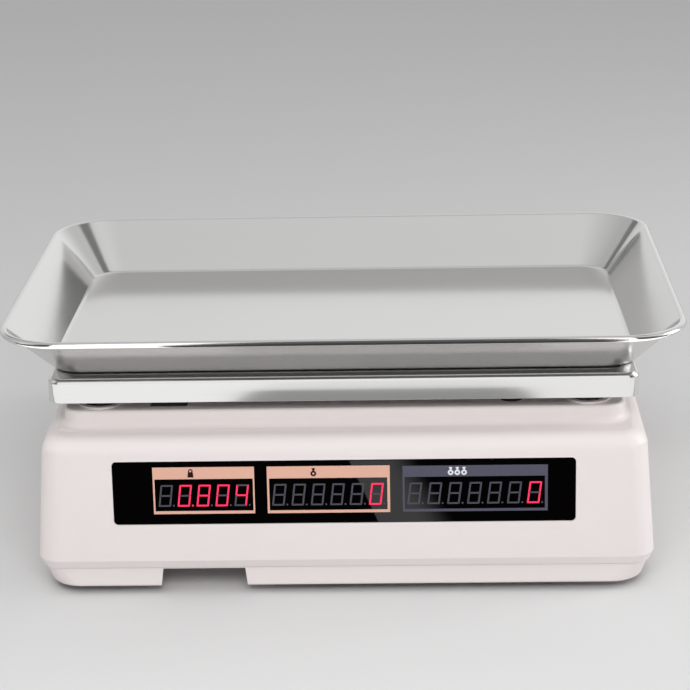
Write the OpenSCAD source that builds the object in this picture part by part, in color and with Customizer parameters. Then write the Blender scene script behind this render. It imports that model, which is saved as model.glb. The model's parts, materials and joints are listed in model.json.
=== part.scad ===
// Bench scale for a shop counter, with a lift-off goods tray on a weighing pan, a display window
// on each side and a keypad on the vendor's side. The customer's side faces -Y and the vendor's
// side faces +Y. The origin is on the counter under the middle of the housing.

/* [Housing] */
// Width of the housing at its widest, just above the parting line
body_w = 356; // [352:1:360]
// Depth of the housing at its deepest, just above the parting line
body_d = 340; // [338:1:344]
// Height of the lower edge of the base above the counter
skirt_z = 5; // [4.5:0.5:6]
// Height of the parting line between the upper and the lower housing
part_z = 17; // [16.5:0.5:17.5]
// Height of the ledge that runs round the top of the upper housing
ledge_z = 94.5; // [93.5:0.5:95.5]
// Height of the raised block under the weighing pan
plateau_z = 104.6; // [104:0.2:105]
// Draft angle of the moulded side walls
draft = 4; // [3:0.5:5]
// Thickness of the moulded walls
wall = 2.5; // [2.2:0.1:2.8]

/* [Weighing pan and goods tray] */
// Middle of the pan, measured along Y from the middle of the housing
pan_y = -34; // [-36:1:-32]
// Width of the weighing pan
pan_w = 338; // [334:1:340]
// Depth of the weighing pan
pan_d = 230; // [228:1:232]
// Height of the top of the weighing pan above the counter
pan_top = 125.5; // [125:0.5:126]
// Height of the folded edge of the weighing pan
pan_skirt = 14.3; // [13:0.1:14.5]
// Width of the goods tray over its rolled rim
tray_w = 391.2; // [388:0.2:394]
// Depth of the goods tray over its rolled rim
tray_d = 266; // [262:1:268]
// Height of the goods tray from the pan to the top of its rim
tray_h = 29; // [27:0.5:31]
// Distance that the left and right sides of the goods tray lean outwards
tray_side_lean = 27.5; // [26:0.5:29]
// Distance that the front and the back of the goods tray lean outwards
tray_end_lean = 33; // [31:0.5:35]
// Radius of the corners of the goods tray's floor
tray_floor_r = 18; // [16:1:22]
// Thickness of the pressed stainless sheet
sheet = 1; // [0.8:0.1:1.2]

/* [Displays and keypad] */
// Width of each display window
window_w = 263.4; // [258:0.2:266]
// Height of each display window
window_h = 37.4; // [36:0.2:38]
// Height of the middle of the customer's window above the counter
window_z = 62.8; // [60:0.2:64]
// Lean of the vendor's display panel from the horizontal
display_tilt = 58; // [56:1:60]
// Slope of the keypad panel from the horizontal
keypad_tilt = 15.5; // [14:0.5:17]
// Height of the crease between the display panel and the keypad panel
crease_z = 55.5; // [54.5:0.5:56]
// Width of one key cap
key_w = 26; // [24:0.5:27]
// Height of one key cap along the slope
key_h = 9.6; // [9:0.1:9.8]
// Travel of one key
key_travel = 2; // [1.5:0.1:2.2]

/* [Weighing works] */
// Half of the distance between the support posts along X
post_x = 141; // [138:1:142]
// Half of the distance between the support posts along Y
post_y = 94; // [92:1:95]
// Length of the load cell
cell_l = 130; // [126:1:134]
// Width of the load cell
cell_w = 30; // [28:1:32]
// Height of the load cell
cell_h = 22; // [20:1:22]

/* [Hidden] */
$fn = 48;
EPS = 0.01;
NUMBER_COLS = 3;
KEY_COLS = 5;
KEY_ROWS = 4;
KEY_NAMES = [
    ["key_7", "key_8", "key_9", "key_memory_1", "key_zero"],
    ["key_4", "key_5", "key_6", "key_memory_2", "key_tare"],
    ["key_1", "key_2", "key_3", "key_memory_3", "key_add"],
    ["key_0", "key_point", "key_clear", "key_memory_4", "key_total"]
];
FOOT_NAMES = ["front_left", "front_right", "back_left", "back_right"];

HOUSING = [0.91, 0.89, 0.88];
STEEL = [0.78, 0.79, 0.8];
CAST = [0.66, 0.67, 0.68];
BOARD = [0.12, 0.35, 0.2];
BLACK = [0.06, 0.06, 0.07];

// Outer form of the upper housing
front_r = 14;
shoulder_r = 10;
hood_r = 4;
lip_r = 10;
chamfer = 2.3;
chamfer_z = part_z + 5;
hood_y = 90;
crease_y = hood_y + (ledge_z - crease_z)/tan(display_tilt);

// Raised block under the pan
plateau_w = 324;
plateau_front = pan_y - 110;
plateau_back = 84;
plateau_d = plateau_back - plateau_front;
plateau_y = (plateau_front + plateau_back)/2;
plateau_r = 12;
plateau_edge = 2;
plateau_foot = 4;
collar_r = 13.5;
collar_h = 1.2;
post_hole_r = 10.5;

// Base
base_inset = 1.2;
base_taper = 3;
base_r = 20;
base_edge = 1.5;
floor_t = 3;
floor_z = part_z + 2;
foot_x = 132;
foot_y = 128;
foot_r = 15;
foot_h = 9;
stud_r = 4;
stud_fit = 0.06;
foot_boss_r = 9;
foot_boss_z = 10.5;
notch_x = -81.5;
notch_w = 47.4;
notch_top = part_z - 1.3;
notch_flare = 1.5;
screw_r = 1.5;
screw_head_r = 3;
screw_boss_r = 4;
SCREWS = [[-158, -150, 92.8], [158, -150, 92.8], [-162, -10, 92.4], [162, -10, 92.4],
          [-158, 152, 43.7], [158, 152, 43.7]];

// Goods tray and pan
bead_r = 2;
rim_r = 36;
tray_bend = 5;
tray_y = pan_y - 3;

// Weighing works, from the floor up
block_h = 12;
cell_z = floor_z + block_h;
cell_end = 20;
cell_top = cell_z + cell_h;
spider_z = 74;
spider_t = 6;
rib_t = 5;
rib_h = 10;
boss_top = 92;
post_r = 5;
post_top = 118;
cap_r = 7;
cap_top = pan_top - sheet;
cap_h = 12.5;
cup_h = 6;
cup_gap = 0.6;
stop_x = 75;
stop_y = 42;
stop_gap = 0.8;

// Displays
window_t = 1.9;
rebate = 2;
window_r = 2.5;
ledge_w = 3;
frame_t = 2.5;
digit_front = -6;
digit_t = 8;
board_t = 1.6;
digit_w = 10.4;
digit_h = 20;
digit_pitch = 11.1;
DIGIT_FIELDS = [[-106.4, 5], [-40.7, 6], [36.7, 7]];
DIGIT_DROP = -2;

// Keypad
key_pitch_x = key_w + 5;
key_pitch_y = key_h + 2;
key_group_gap = 8;
keypad_w = 190;
keypad_d = 49.2;
keypad_s = 26;
fascia_t = 1.5;
key_rise = 2.4;
key_gap = 0.4;
flange_t = 1;
mat_z = -8.2;
mat_t = 1;
dome_h = 2;
stem_r = 2.5;

// Mains inlet and switch on the right side
side_z = 34;
inlet_y = 88;
switch_y = 126;
rocker_r = 9.6;
rocker_tilt = 10;
rocker_z = -2;
pin_r = 1;

// Battery bay
battery_w = 101;
battery_d = 70;
battery_h = 47;
battery_x = -112;
battery_y = 52;
battery_z = part_z - 1;
door_t = 2.4;
door_edge = 4.5;
rail_t = 2;
rail_lip = 2;

function side_x(z) = body_w/2 - (z - chamfer_z)*tan(draft);
function edge_y(z) = body_d/2 - (z - chamfer_z)*tan(draft);
function key_x(col) = (col - (KEY_COLS - 1)/2)*key_pitch_x
    + (col < NUMBER_COLS ? -key_group_gap/2 : key_group_gap/2);
function key_y(row) = ((KEY_ROWS - 1)/2 - row)*key_pitch_y;
function arc(cx, cy, r, a0, a1, n) =
    [for (i = [0:n]) let (a = a0 + (a1 - a0)*i/n) [cx + r*cos(a), cy + r*sin(a)]];

// Flat outline with round corners, its middle at the origin
module rounded_rect(w, d, r) {
    square([w - 2*r, d], center = true);
    square([w, d - 2*r], center = true);
    for (x = [-1, 1], y = [-1, 1])
        translate([x*(w/2 - r), y*(d/2 - r)]) circle(r);
}

module rounded_prism(w, d, h, r) {
    linear_extrude(h) rounded_rect(w, d, r);
}

// Carries a profile round a rounded rectangle. The profile's x is 0 on the outline and grows
// outwards, and its y is the height.
module rounded_sweep(w, d, r) {
    for (x = [0, 1], y = [0, 1])
        mirror([x, 0, 0]) mirror([0, y, 0])
            translate([w/2 - r, d/2 - r, 0]) rotate_extrude(angle = 90) translate([r, 0]) children();
    for (x = [0, 1])
        mirror([x, 0, 0]) translate([w/2, d/2 - r, 0])
            rotate([90, 0, 0]) linear_extrude(d - 2*r) children();
    for (y = [0, 1])
        mirror([0, y, 0]) translate([r - w/2, d/2, 0])
            rotate([90, 0, 90]) linear_extrude(w - 2*r) children();
}

// Puts a piece on the customer's front wall: local X to the right as the customer sees it,
// local Y up the wall, local Z out of it. The origin is the middle of the window.
module on_front() {
    translate([0, -edge_y(window_z), window_z]) rotate([90 - draft, 0, 0]) children();
}

// The same for the vendor's display panel, seen from the vendor's side
module on_display() {
    translate([0, (hood_y + crease_y)/2, (ledge_z + crease_z)/2])
        rotate([0, 0, 180]) rotate([display_tilt, 0, 0]) children();
}

// The same for the keypad panel, with the origin in the middle of the keypad
module on_keypad() {
    translate([0, crease_y + keypad_s*cos(keypad_tilt), crease_z - keypad_s*sin(keypad_tilt)])
        rotate([0, 0, 180]) rotate([keypad_tilt, 0, 0]) children();
}

// The same for a place on the right wall: local X towards the vendor, local Z out of the wall
module on_side(y) {
    translate([side_x(side_z), y, side_z]) rotate([0, 0, 90]) rotate([90 - draft, 0, 0]) children();
}

module round_corner(x, y, z, plan_r, edge_r) {
    translate([x, y, z]) rotate_extrude($fn = 32)
        translate([plan_r - edge_r, 0]) intersection() {
            circle(edge_r);
            translate([edge_r - plan_r, -edge_r]) square([plan_r, 2*edge_r]);
        }
}

// Main block of the housing, shrunk by inset on every side for the inside
module main_block(inset) {
    z = ledge_z - shoulder_r;
    reach = front_r - shoulder_r + shoulder_r/cos(draft);
    hood_centre = hood_y - hood_r*tan(display_tilt/2);
    foot_back = hood_y + (ledge_z - chamfer_z)/tan(display_tilt);
    hull() for (side = [-1, 1]) {
        round_corner(side*(side_x(z) - reach), reach - edge_y(z), z,
            front_r - inset, shoulder_r - inset);
        translate([side*(side_x(ledge_z - hood_r) - hood_r/cos(draft)), hood_centre,
            ledge_z - hood_r]) sphere(hood_r - inset, $fn = 24);
        for (low = [0, 1])
            translate([side*(body_w/2 - front_r), front_r - body_d/2,
                low == 1 ? part_z - (inset > 0 ? 1 : 0) : chamfer_z])
                cylinder(EPS, r = front_r - inset - low*chamfer, $fn = 32);
        for (low = [0, 1])
            translate([side*(body_w/2 - hood_r), foot_back - hood_r,
                low == 1 ? part_z - (inset > 0 ? 1 : 0) : chamfer_z])
                cylinder(EPS, r = hood_r - inset - low*min(chamfer, hood_r - inset - 0.2), $fn = 24);
    }
}

// Wedge under the keypad
module keypad_wedge(inset) {
    lip_a = body_d/2 + chamfer_z*tan(draft) - lip_r/cos(draft);
    lip_z = (crease_z*cos(keypad_tilt) - lip_r - sin(keypad_tilt)*(lip_a - crease_y))
        / (cos(keypad_tilt) - sin(keypad_tilt)*tan(draft));
    lip_y = lip_a - lip_z*tan(draft);
    top_y = crease_y - 12;
    top_z = crease_z - (lip_r + sin(keypad_tilt)*(top_y - crease_y))/cos(keypad_tilt);
    hull() for (side = [-1, 1]) {
        translate([side*(side_x(lip_z) - lip_r/cos(draft)), lip_y, lip_z])
            sphere(lip_r - inset, $fn = 32);
        translate([side*(side_x(top_z) - lip_r/cos(draft)), top_y, top_z])
            sphere(lip_r - inset, $fn = 32);
        for (low = [0, 1], y = [crease_y - 30, body_d/2 - front_r])
            translate([side*(body_w/2 - front_r), y,
                low == 1 ? part_z - (inset > 0 ? 1 : 0) : chamfer_z])
                cylinder(EPS, r = front_r - inset - low*chamfer, $fn = 32);
    }
}

module housing_form(inset) {
    main_block(inset);
    keypad_wedge(inset);
}

// Raised block with rounded top edges and a hollow fillet at its foot
module plateau() {
    h = plateau_z - ledge_z;
    inner = 2*plateau_edge;
    translate([0, plateau_y, ledge_z - 2]) {
        rounded_prism(plateau_w, plateau_d, h + 2 - plateau_edge, plateau_r);
        rounded_prism(plateau_w - inner, plateau_d - inner, h + 2, plateau_r - plateau_edge);
        translate([0, 0, h + 2 - plateau_edge])
            rounded_sweep(plateau_w, plateau_d, plateau_r)
                translate([-plateau_edge, 0]) circle(plateau_edge, $fn = 32);
    }
    translate([0, plateau_y, ledge_z]) rounded_sweep(plateau_w, plateau_d, plateau_r)
        difference() {
            translate([-1, -2]) square([plateau_foot + 1, plateau_foot + 2]);
            translate([plateau_foot, plateau_foot]) circle(plateau_foot, $fn = 32);
        }
}

// Opening for a window: a rebate for the pane and a smaller opening behind it
module window_cut() {
    translate([0, 0, -rebate])
        rounded_prism(window_w + 0.4, window_h + 0.4, rebate + 10, window_r);
    translate([0, 0, -wall - frame_t - 1])
        linear_extrude(10) square([window_w - 2*ledge_w, window_h - 2*ledge_w], center = true);
}

// Frame behind a window, with the pillars that carry the display board
module window_frame() {
    translate([0, 0, -wall - frame_t])
        linear_extrude(frame_t + EPS) difference() {
            square([window_w + 6, window_h + 4], center = true);
            square([window_w - 2*ledge_w, window_h - 2*ledge_w], center = true);
        }
    for (x = [-1, 1], y = [-1, 1])
        translate([x*(window_w/2 - 1), y*10, digit_front - digit_t])
            cylinder(digit_t + 2, r = 3);
}

module upper_housing() color(HOUSING) difference() {
    union() {
        difference() {
            union() {
                housing_form(0);
                plateau();
            }
            housing_form(wall);
            translate([0, plateau_y, ledge_z - 12])
                rounded_prism(plateau_w - 2*wall, plateau_d - 2*wall,
                    plateau_z - wall - ledge_z + 12, plateau_r - wall);
        }
        on_front() window_frame();
        on_display() window_frame();
        for (x = [-1, 1], y = [-1, 1])
            on_keypad() translate([x*(keypad_w/2 + 3), y*17, mat_z]) cylinder(7, r = 3);
        for (x = [-1, 1], y = [-1, 1])
            translate([x*post_x, pan_y + y*post_y, plateau_z - wall])
                cylinder(wall + collar_h, r = collar_r);
        for (s = SCREWS)
            translate([s[0], s[1], floor_z]) cylinder(s[2] - floor_z, r = screw_boss_r);
    }
    on_front() window_cut();
    on_display() window_cut();
    on_keypad() {
        translate([0, 0, -fascia_t]) rounded_prism(keypad_w, keypad_d, 10, 3);
        translate([0, 0, -6]) linear_extrude(10) square([keypad_w - 6, keypad_d - 2.4], center = true);
    }
    for (x = [-1, 1], y = [-1, 1])
        translate([x*post_x, pan_y + y*post_y, plateau_z - 5]) cylinder(10, r = post_hole_r);
    for (s = SCREWS)
        translate([s[0], s[1], floor_z - 1]) cylinder(12, r = screw_r);
    translate([-101, pan_y - 96, plateau_z - 1.2]) rounded_prism(21.6, 14, 5, 1);
    translate([-101, pan_y - 96, plateau_z - 5]) cylinder(10, r = 2.5);
    translate([97, pan_y - 94.5, plateau_z - 5]) cylinder(10, r = 6.2);
    on_side(inlet_y) translate([0, 0, -10]) linear_extrude(12) square([22.4, 14.4], center = true);
    on_side(switch_y) translate([0, 0, -10]) linear_extrude(12) square([24.4, 14.4], center = true);
}

// Skirt of the base, shrunk by inset for its inside
module base_block(inset) {
    top = part_z - (inset > 0 ? 1 : 0);
    hull() for (x = [-1, 1], y = [-1, 1]) {
        translate([x*(body_w/2 - front_r), y*(body_d/2 - front_r), top - 0.5])
            cylinder(0.5, r = front_r - chamfer - base_inset - inset, $fn = 32);
        if (inset > 0)
            translate([x*(body_w/2 - base_taper - chamfer - base_r),
                y*(body_d/2 - chamfer - base_r), skirt_z - 2])
                cylinder(1, r = base_r - inset, $fn = 32);
        else
            round_corner(x*(body_w/2 - base_taper - chamfer - base_r),
                y*(body_d/2 - chamfer - base_r), skirt_z + base_edge, base_r, base_edge);
    }
}

module lower_housing() color(HOUSING) difference() {
    union() {
        difference() {
            base_block(0);
            base_block(wall);
            translate([notch_x, -body_d/2 - 10, 0]) rotate([-90, 0, 0]) linear_extrude(20)
                polygon([[-notch_w/2, -notch_top], [notch_w/2, -notch_top],
                         [notch_w/2 + notch_flare, -skirt_z + 1], [-notch_w/2 - notch_flare, -skirt_z + 1]]);
        }
        translate([0, 0, part_z - 0.5])
            rounded_prism(body_w - 2*(chamfer + wall + 0.3), body_d - 2*(chamfer + wall + 0.3),
                floor_z - part_z + 0.5, front_r - chamfer - wall);
        for (x = [-1, 1], y = [-1, 1])
            translate([x*foot_x, y*foot_y, foot_boss_z])
                cylinder(floor_z + 3 - foot_boss_z, r = foot_boss_r);
        for (s = SCREWS)
            translate([s[0], s[1], part_z - 6]) cylinder(5.7, r = screw_head_r + 1.5);
        for (x = [-1, 1], y = [-1, 1])
            translate([x*stop_x, pan_y + y*stop_y, floor_z - 1]) cylinder(37, r = 6);
        // Ring wall that stiffens the floor round the load cell
        translate([-8, pan_y, floor_z - 1]) linear_extrude(10) difference() {
            square([196, cell_w + 11], center = true);
            square([191, cell_w + 6], center = true);
        }
        // Walls of the battery bay
        translate([battery_x, battery_y, floor_z - 1]) linear_extrude(19) difference() {
            square([battery_w + 4, battery_d + 4], center = true);
            square([battery_w, battery_d], center = true);
        }
        door_rails();
        for (x = [-36, 96], y = [98, 142])
            translate([x, y, floor_z - 1]) cylinder(7, r = 3);
    }
    for (x = [-1, 1], y = [-1, 1])
        translate([x*foot_x, y*foot_y, 0]) cylinder(40, r = stud_r + stud_fit);
    for (s = SCREWS) {
        translate([s[0], s[1], 0]) cylinder(40, r = screw_r + 0.2);
        translate([s[0], s[1], 0]) cylinder(part_z - 2.5, r = screw_head_r + 0.3);
    }
    for (x = [-1, 1], y = [-1, 1])
        translate([x*stop_x, pan_y + y*stop_y, floor_z + 16]) cylinder(30, r = 3);
    translate([battery_x, battery_y, battery_z - 1]) linear_extrude(floor_t + 2)
        square([battery_w, battery_d], center = true);
    for (x = [-6.5, 6.5])
        translate([-cell_l/2 + cell_end + x, pan_y, 0]) cylinder(floor_z + 1, r = 3);
}

// Section through a wall of the goods tray: up the outside from the floor, three quarters of the
// way round the curled rim, and down the inside to the floor again
function tray_section(lean) =
    let (curl = [-bead_r, tray_h - bead_r], bend = [-lean - 1.5, tray_bend], reach = curl - bend,
        slope = atan2(reach[1], reach[0]) + asin((tray_bend - sheet + bead_r)/norm(reach)))
    concat(arc(bend[0], bend[1], tray_bend, -90, slope - 90, 4),
        arc(curl[0], curl[1], bead_r - sheet, slope + 90, slope - 180, 7),
        arc(curl[0], curl[1], bead_r, slope - 180, slope + 90, 12),
        arc(bend[0], bend[1], tray_bend - sheet, slope - 90, -90, 4));

// Ring of points round the goods tray: point s of its side sections and point e of its end
// sections, joined round the corners, which are tighter at the floor than at the rim
function tray_ring(s, e, steps) =
    let (w = tray_w/2 + s[0], d = tray_d/2 + e[0],
        r = rim_r - (rim_r - tray_floor_r)*min(1, e[0]/(-tray_end_lean - 1.5)))
    [for (c = [[1, 1, 0], [-1, 1, 90], [-1, -1, 180], [1, -1, 270]], i = [0:steps])
        let (a = c[2] + 90*i/steps, f = c[0]*c[1] > 0 ? i/steps : 1 - i/steps)
            [c[0]*(w - r) + r*cos(a), c[1]*(d - r) + r*sin(a), s[1]*(1 - f) + e[1]*f]];

// Tray pressed from one sheet: a flat floor, walls that lean outwards and a curled rim. The ends
// lean further than the sides.
module goods_tray() color(STEEL) {
    side = tray_section(tray_side_lean);
    end = tray_section(tray_end_lean);
    rings = [for (k = [0:len(side) - 1]) tray_ring(side[k], end[k], 9)];
    n = len(rings[0]);
    last = len(rings) - 1;
    translate([0, tray_y, pan_top]) polyhedron(
        [for (ring = rings) each ring],
        concat([[for (i = [0:n - 1]) i], [for (i = [n - 1:-1:0]) last*n + i]],
            [for (k = [0:last - 1], i = [0:n - 1]) let (a = k*n + i, b = k*n + (i + 1)%n)
                each [[a, a + n, b + n], [a, b + n, b]]]));
}

// Shallow pan folded down on all sides
module weighing_pan() color(STEEL) {
    fold_r = 3;
    pan_r = 8;
    translate([0, pan_y, pan_top]) {
        translate([0, 0, -sheet])
            rounded_prism(pan_w - 2*fold_r, pan_d - 2*fold_r, sheet, pan_r - fold_r);
        rounded_sweep(pan_w, pan_d, pan_r) polygon(concat(
            [[-fold_r - EPS, 0]], arc(-fold_r, -fold_r, fold_r, 90, 0, 6), [[0, -pan_skirt]],
            [[-sheet, -pan_skirt]], arc(-fold_r, -fold_r, fold_r - sheet, 0, 90, 6),
            [[-fold_r - EPS, -sheet]]));
    }
}

module at_posts() {
    for (x = [-1, 1], y = [-1, 1])
        translate([x*post_x, pan_y + y*post_y, 0]) children();
}

module pan_cups() color(STEEL) at_posts() translate([0, 0, cap_top - cup_h]) difference() {
    cylinder(cup_h, r = cap_r + cup_gap + 1.4);
    translate([0, 0, -1]) cylinder(cup_h + 2, r = cap_r + cup_gap);
}

// Cast cross that carries the pan on the free end of the load cell
module pan_spider() color(CAST) difference() {
    arm_l = norm([post_x, post_y]);
    arm_a = atan2(post_y, post_x);
    pad_x = cell_l/2 - cell_end;
    union() {
        translate([0, pan_y, spider_z]) {
            for (a = [arm_a, 180 - arm_a, 180 + arm_a, -arm_a]) rotate([0, 0, a]) {
                linear_extrude(spider_t)
                    polygon([[0, -20], [arm_l, -8], [arm_l, 8], [0, 20]]);
                translate([0, rib_t/2, 0]) rotate([90, 0, 0]) linear_extrude(rib_t)
                    polygon([[0, 0], [arm_l, 0], [arm_l, spider_t + 3], [0, spider_t + rib_h]]);
            }
            translate([-30, -cell_w/2 - 1, 0]) cube([pad_x + 46, cell_w + 2, spider_t + 3]);
        }
        translate([pad_x - 16, pan_y - cell_w/2 - 1, cell_top])
            cube([32, cell_w + 2, spider_z - cell_top + EPS]);
        at_posts() translate([0, 0, spider_z]) cylinder(boss_top - spider_z, r = 10);
    }
    at_posts() translate([0, 0, boss_top - 12]) cylinder(20, r = post_r);
    for (x = [-6.5, 6.5])
        translate([pad_x + x, pan_y, cell_top - 1]) cylinder(60, r = 3.2);
}

module support_posts() color(STEEL) at_posts() {
    translate([0, 0, boss_top - 12]) cylinder(post_top - boss_top + 12, r = post_r);
    translate([0, 0, boss_top]) cylinder(4, r = 8, $fn = 6);
}

module post_caps() color(BLACK) at_posts() difference() {
    translate([0, 0, cap_top - cap_h]) {
        cylinder(cap_h - 1, r = cap_r);
        translate([0, 0, cap_h - 1 - EPS]) cylinder(1 + EPS, r1 = cap_r, r2 = cap_r - 1);
    }
    translate([0, 0, cap_top - cap_h - 1]) cylinder(post_top - cap_top + cap_h + 1, r = post_r);
}

// Bending beam with two joined bores through its middle and two holes in each end
module load_cell() color([0.8, 0.8, 0.82]) difference() {
    bore_r = 8;
    bore_x = 14;
    translate([-cell_l/2, pan_y - cell_w/2, cell_z]) cube([cell_l, cell_w, cell_h]);
    translate([0, pan_y + cell_w, cell_z + cell_h/2]) rotate([90, 0, 0]) {
        for (x = [-bore_x, bore_x]) translate([x, 0, 0]) cylinder(2*cell_w, r = bore_r);
        translate([-bore_x, -3, 0]) cube([2*bore_x, 6, 2*cell_w]);
    }
    for (side = [-1, 1], x = [-6.5, 6.5])
        translate([side*(cell_l/2 - cell_end) + x, pan_y, cell_z - 1]) cylinder(cell_h + 2, r = 3);
}

module load_cell_block() color(STEEL) difference() {
    translate([-cell_l/2 + cell_end - 16, pan_y - cell_w/2, floor_z]) cube([32, cell_w, block_h]);
    for (x = [-6.5, 6.5])
        translate([-cell_l/2 + cell_end + x, pan_y, floor_z - 1]) cylinder(block_h + 2, r = 3);
}

// Bolts that come up through the floor and the block into the cell
module cell_base_screws() color(STEEL)
    for (x = [-6.5, 6.5]) translate([-cell_l/2 + cell_end + x, pan_y, part_z - 1]) {
        translate([0, 0, -1]) cylinder(floor_t + block_h + 17, r = 2.95);
        translate([0, 0, -4]) cylinder(4, r = 5, $fn = 6);
    }

// Cap screws that hold the cross to the cell
module cell_top_screws() color(STEEL)
    for (x = [-6.5, 6.5]) translate([cell_l/2 - cell_end + x, pan_y, cell_z + 4]) {
        cylinder(spider_z + spider_t + 3 - cell_z - 4, r = 2.95);
        translate([0, 0, spider_z + spider_t + 3 - cell_z - 4]) cylinder(5, r = 5);
    }

// Stops that the cross comes down on when the scale is overloaded
module overload_screws() color(STEEL)
    for (x = [-1, 1], y = [-1, 1]) translate([x*stop_x, pan_y + y*stop_y, floor_z + 16]) {
        cylinder(spider_z - stop_gap - floor_z - 16, r = 2.98);
        translate([0, 0, 20]) cylinder(4, r = 5.5, $fn = 6);
    }

module window_pane() {
    translate([0, 0, -rebate]) rounded_prism(window_w, window_h, window_t, window_r);
}

module display_board() {
    translate([-window_w/2 - 4, -16, digit_front - digit_t - board_t])
        cube([window_w + 8, 32, board_t]);
}

// Rows of seven-bar digits, one row for each amount
module display_digits() {
    for (field = DIGIT_FIELDS, i = [0:field[1] - 1])
        translate([field[0] + i*digit_pitch, DIGIT_DROP - digit_h/2, digit_front - digit_t])
            cube([digit_w, digit_h, digit_t]);
}

module customer_window() color([0.05, 0.04, 0.05]) on_front() window_pane();
module customer_board() color(BOARD) on_front() display_board();
module customer_digits() color([0.35, 0.34, 0.38]) on_front() display_digits();
module vendor_window() color([0.05, 0.04, 0.05]) on_display() window_pane();
module vendor_board() color(BOARD) on_display() display_board();
module vendor_digits() color([0.35, 0.34, 0.38]) on_display() display_digits();

module at_keys() {
    for (row = [0:KEY_ROWS - 1], col = [0:KEY_COLS - 1])
        translate([key_x(col), key_y(row), 0]) children();
}

module keypad_fascia() color([0.3, 0.32, 0.36]) on_keypad() difference() {
    translate([0, 0, -fascia_t]) rounded_prism(keypad_w - 0.4, keypad_d - 0.4, fascia_t, 2.8);
    at_keys() translate([0, 0, -5])
        rounded_prism(key_w + 2*key_gap, key_h + 2*key_gap, 10, 1.6);
}

// Rubber sheet with a round dome wall under each key
module key_mat() color([0.8, 0.8, 0.78]) on_keypad() {
    translate([-keypad_w/2 + 6, -keypad_d/2 + 2, mat_z]) cube([keypad_w - 12, keypad_d - 4, mat_t]);
    at_keys() translate([0, 0, mat_z + mat_t - EPS]) difference() {
        cylinder(dome_h, r = stem_r + 2);
        translate([0, 0, -1]) cylinder(dome_h + 2, r = stem_r + 0.6);
    }
}

module keypad_board() color(BOARD) on_keypad()
    translate([-keypad_w/2 - 6, -keypad_d/2 + 1, mat_z - board_t])
        cube([keypad_w + 12, keypad_d - 2, board_t]);

// One key: a cap with a flange under the fascia and a stem over its dome
module key_cap(tint) color(tint) {
    cap_z = -fascia_t - 0.1 - flange_t;
    translate([0, 0, cap_z]) rounded_prism(key_w, key_h, key_rise - cap_z - 0.8, 1.2);
    translate([0, 0, key_rise - 0.8 - EPS]) rounded_prism(key_w - 1.2, key_h - 1.2, 0.8, 0.9);
    translate([0, 0, cap_z]) rounded_prism(key_w + 1.6, key_h + 1.4, flange_t, 1);
    translate([0, 0, mat_z + mat_t + key_travel + 0.2]) cylinder(4, r = stem_r);
}

module key_at(row, col) {
    tints = [[0.86, 0.86, 0.85], [0.35, 0.5, 0.68], [0.75, 0.4, 0.36]];
    on_keypad() translate([key_x(col), key_y(row), 0])
        key_cap(tints[max(0, col - NUMBER_COLS + 1)]);
}

module switch_body() color(BLACK) on_side(switch_y) difference() {
    union() {
        rounded_prism(28, 18, 1.6, 1.5);
        translate([0, 0, -14]) linear_extrude(14 + EPS) square([24, 14], center = true);
        for (x = [-6, 6]) translate([x - 0.4, -3, -20]) cube([0.8, 6, 7]);
    }
    translate([0, 0, -12]) linear_extrude(20) square([2*rocker_r + 0.4, 11.6], center = true);
    translate([0, 8, rocker_z]) rotate([90, 0, 0]) cylinder(16, r = pin_r + 0.05);
}

// Rocker with two faces that meet over its pivot, stored with its near end pressed in
module switch_rocker() color([0.7, 0.1, 0.08])
    on_side(switch_y) translate([0, 0, rocker_z]) rotate([0, rocker_tilt, 0]) {
        difference() {
            translate([0, 5.6, 0]) rotate([90, 0, 0]) linear_extrude(11.2) intersection() {
                circle(rocker_r);
                polygon([[-rocker_r, 5.4], [0, 3.6], [rocker_r, 5.4], [rocker_r, -4], [-rocker_r, -4]]);
            }
            translate([-7, -4, -6]) cube([5, 8, 6]);
            translate([2, -4, -6]) cube([5, 8, 6]);
        }
        translate([0, 7, 0]) rotate([90, 0, 0]) cylinder(14, r = pin_r);
    }

// Two-pin figure-eight inlet
module mains_inlet() color(BLACK) on_side(inlet_y) {
    difference() {
        union() {
            rounded_prism(28, 18, 1.6, 2);
            translate([0, 0, -16]) linear_extrude(16 + EPS) square([22, 14], center = true);
        }
        translate([0, 0, -10]) linear_extrude(20) union() {
            for (x = [-4.3, 4.3]) translate([x, 0]) circle(4.3);
            square([8.6, 7], center = true);
        }
    }
    for (x = [-4.3, 4.3]) translate([x, 0, -10 - EPS]) cylinder(9, r = 1.2);
}

// Laminated core round a bobbin
module transformer() color([0.55, 0.5, 0.42]) translate([128, 38, floor_z]) {
    translate([-25, -10, 0]) cube([50, 20, 42]);
    translate([-15, -20, 6]) cube([30, 40, 30]);
    for (x = [-1, 1]) translate([x*28 - 7, -8, 0]) cube([14, 16, 1.5]);
}

module battery() color([0.2, 0.22, 0.26]) translate([battery_x, battery_y, battery_z]) {
    translate([-battery_w/2, -battery_d/2, 0]) cube([battery_w, battery_d, battery_h]);
    for (y = [-20, 20]) translate([battery_w/2 - EPS, y - 3, battery_h - 12]) cube([5, 6, 0.8]);
}

// Door under the battery, which slides in two rails under the floor
module battery_door() color(HOUSING)
    translate([battery_x, battery_y, battery_z - 0.2 - door_t]) difference() {
        rounded_prism(battery_w + 2*door_edge, battery_d + 2*door_edge, door_t, 2);
        for (x = [0:3:9])
            translate([battery_w/2 - 12 + x, 0, -1]) linear_extrude(1.8) square([1.4, 22], center = true);
    }

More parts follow.
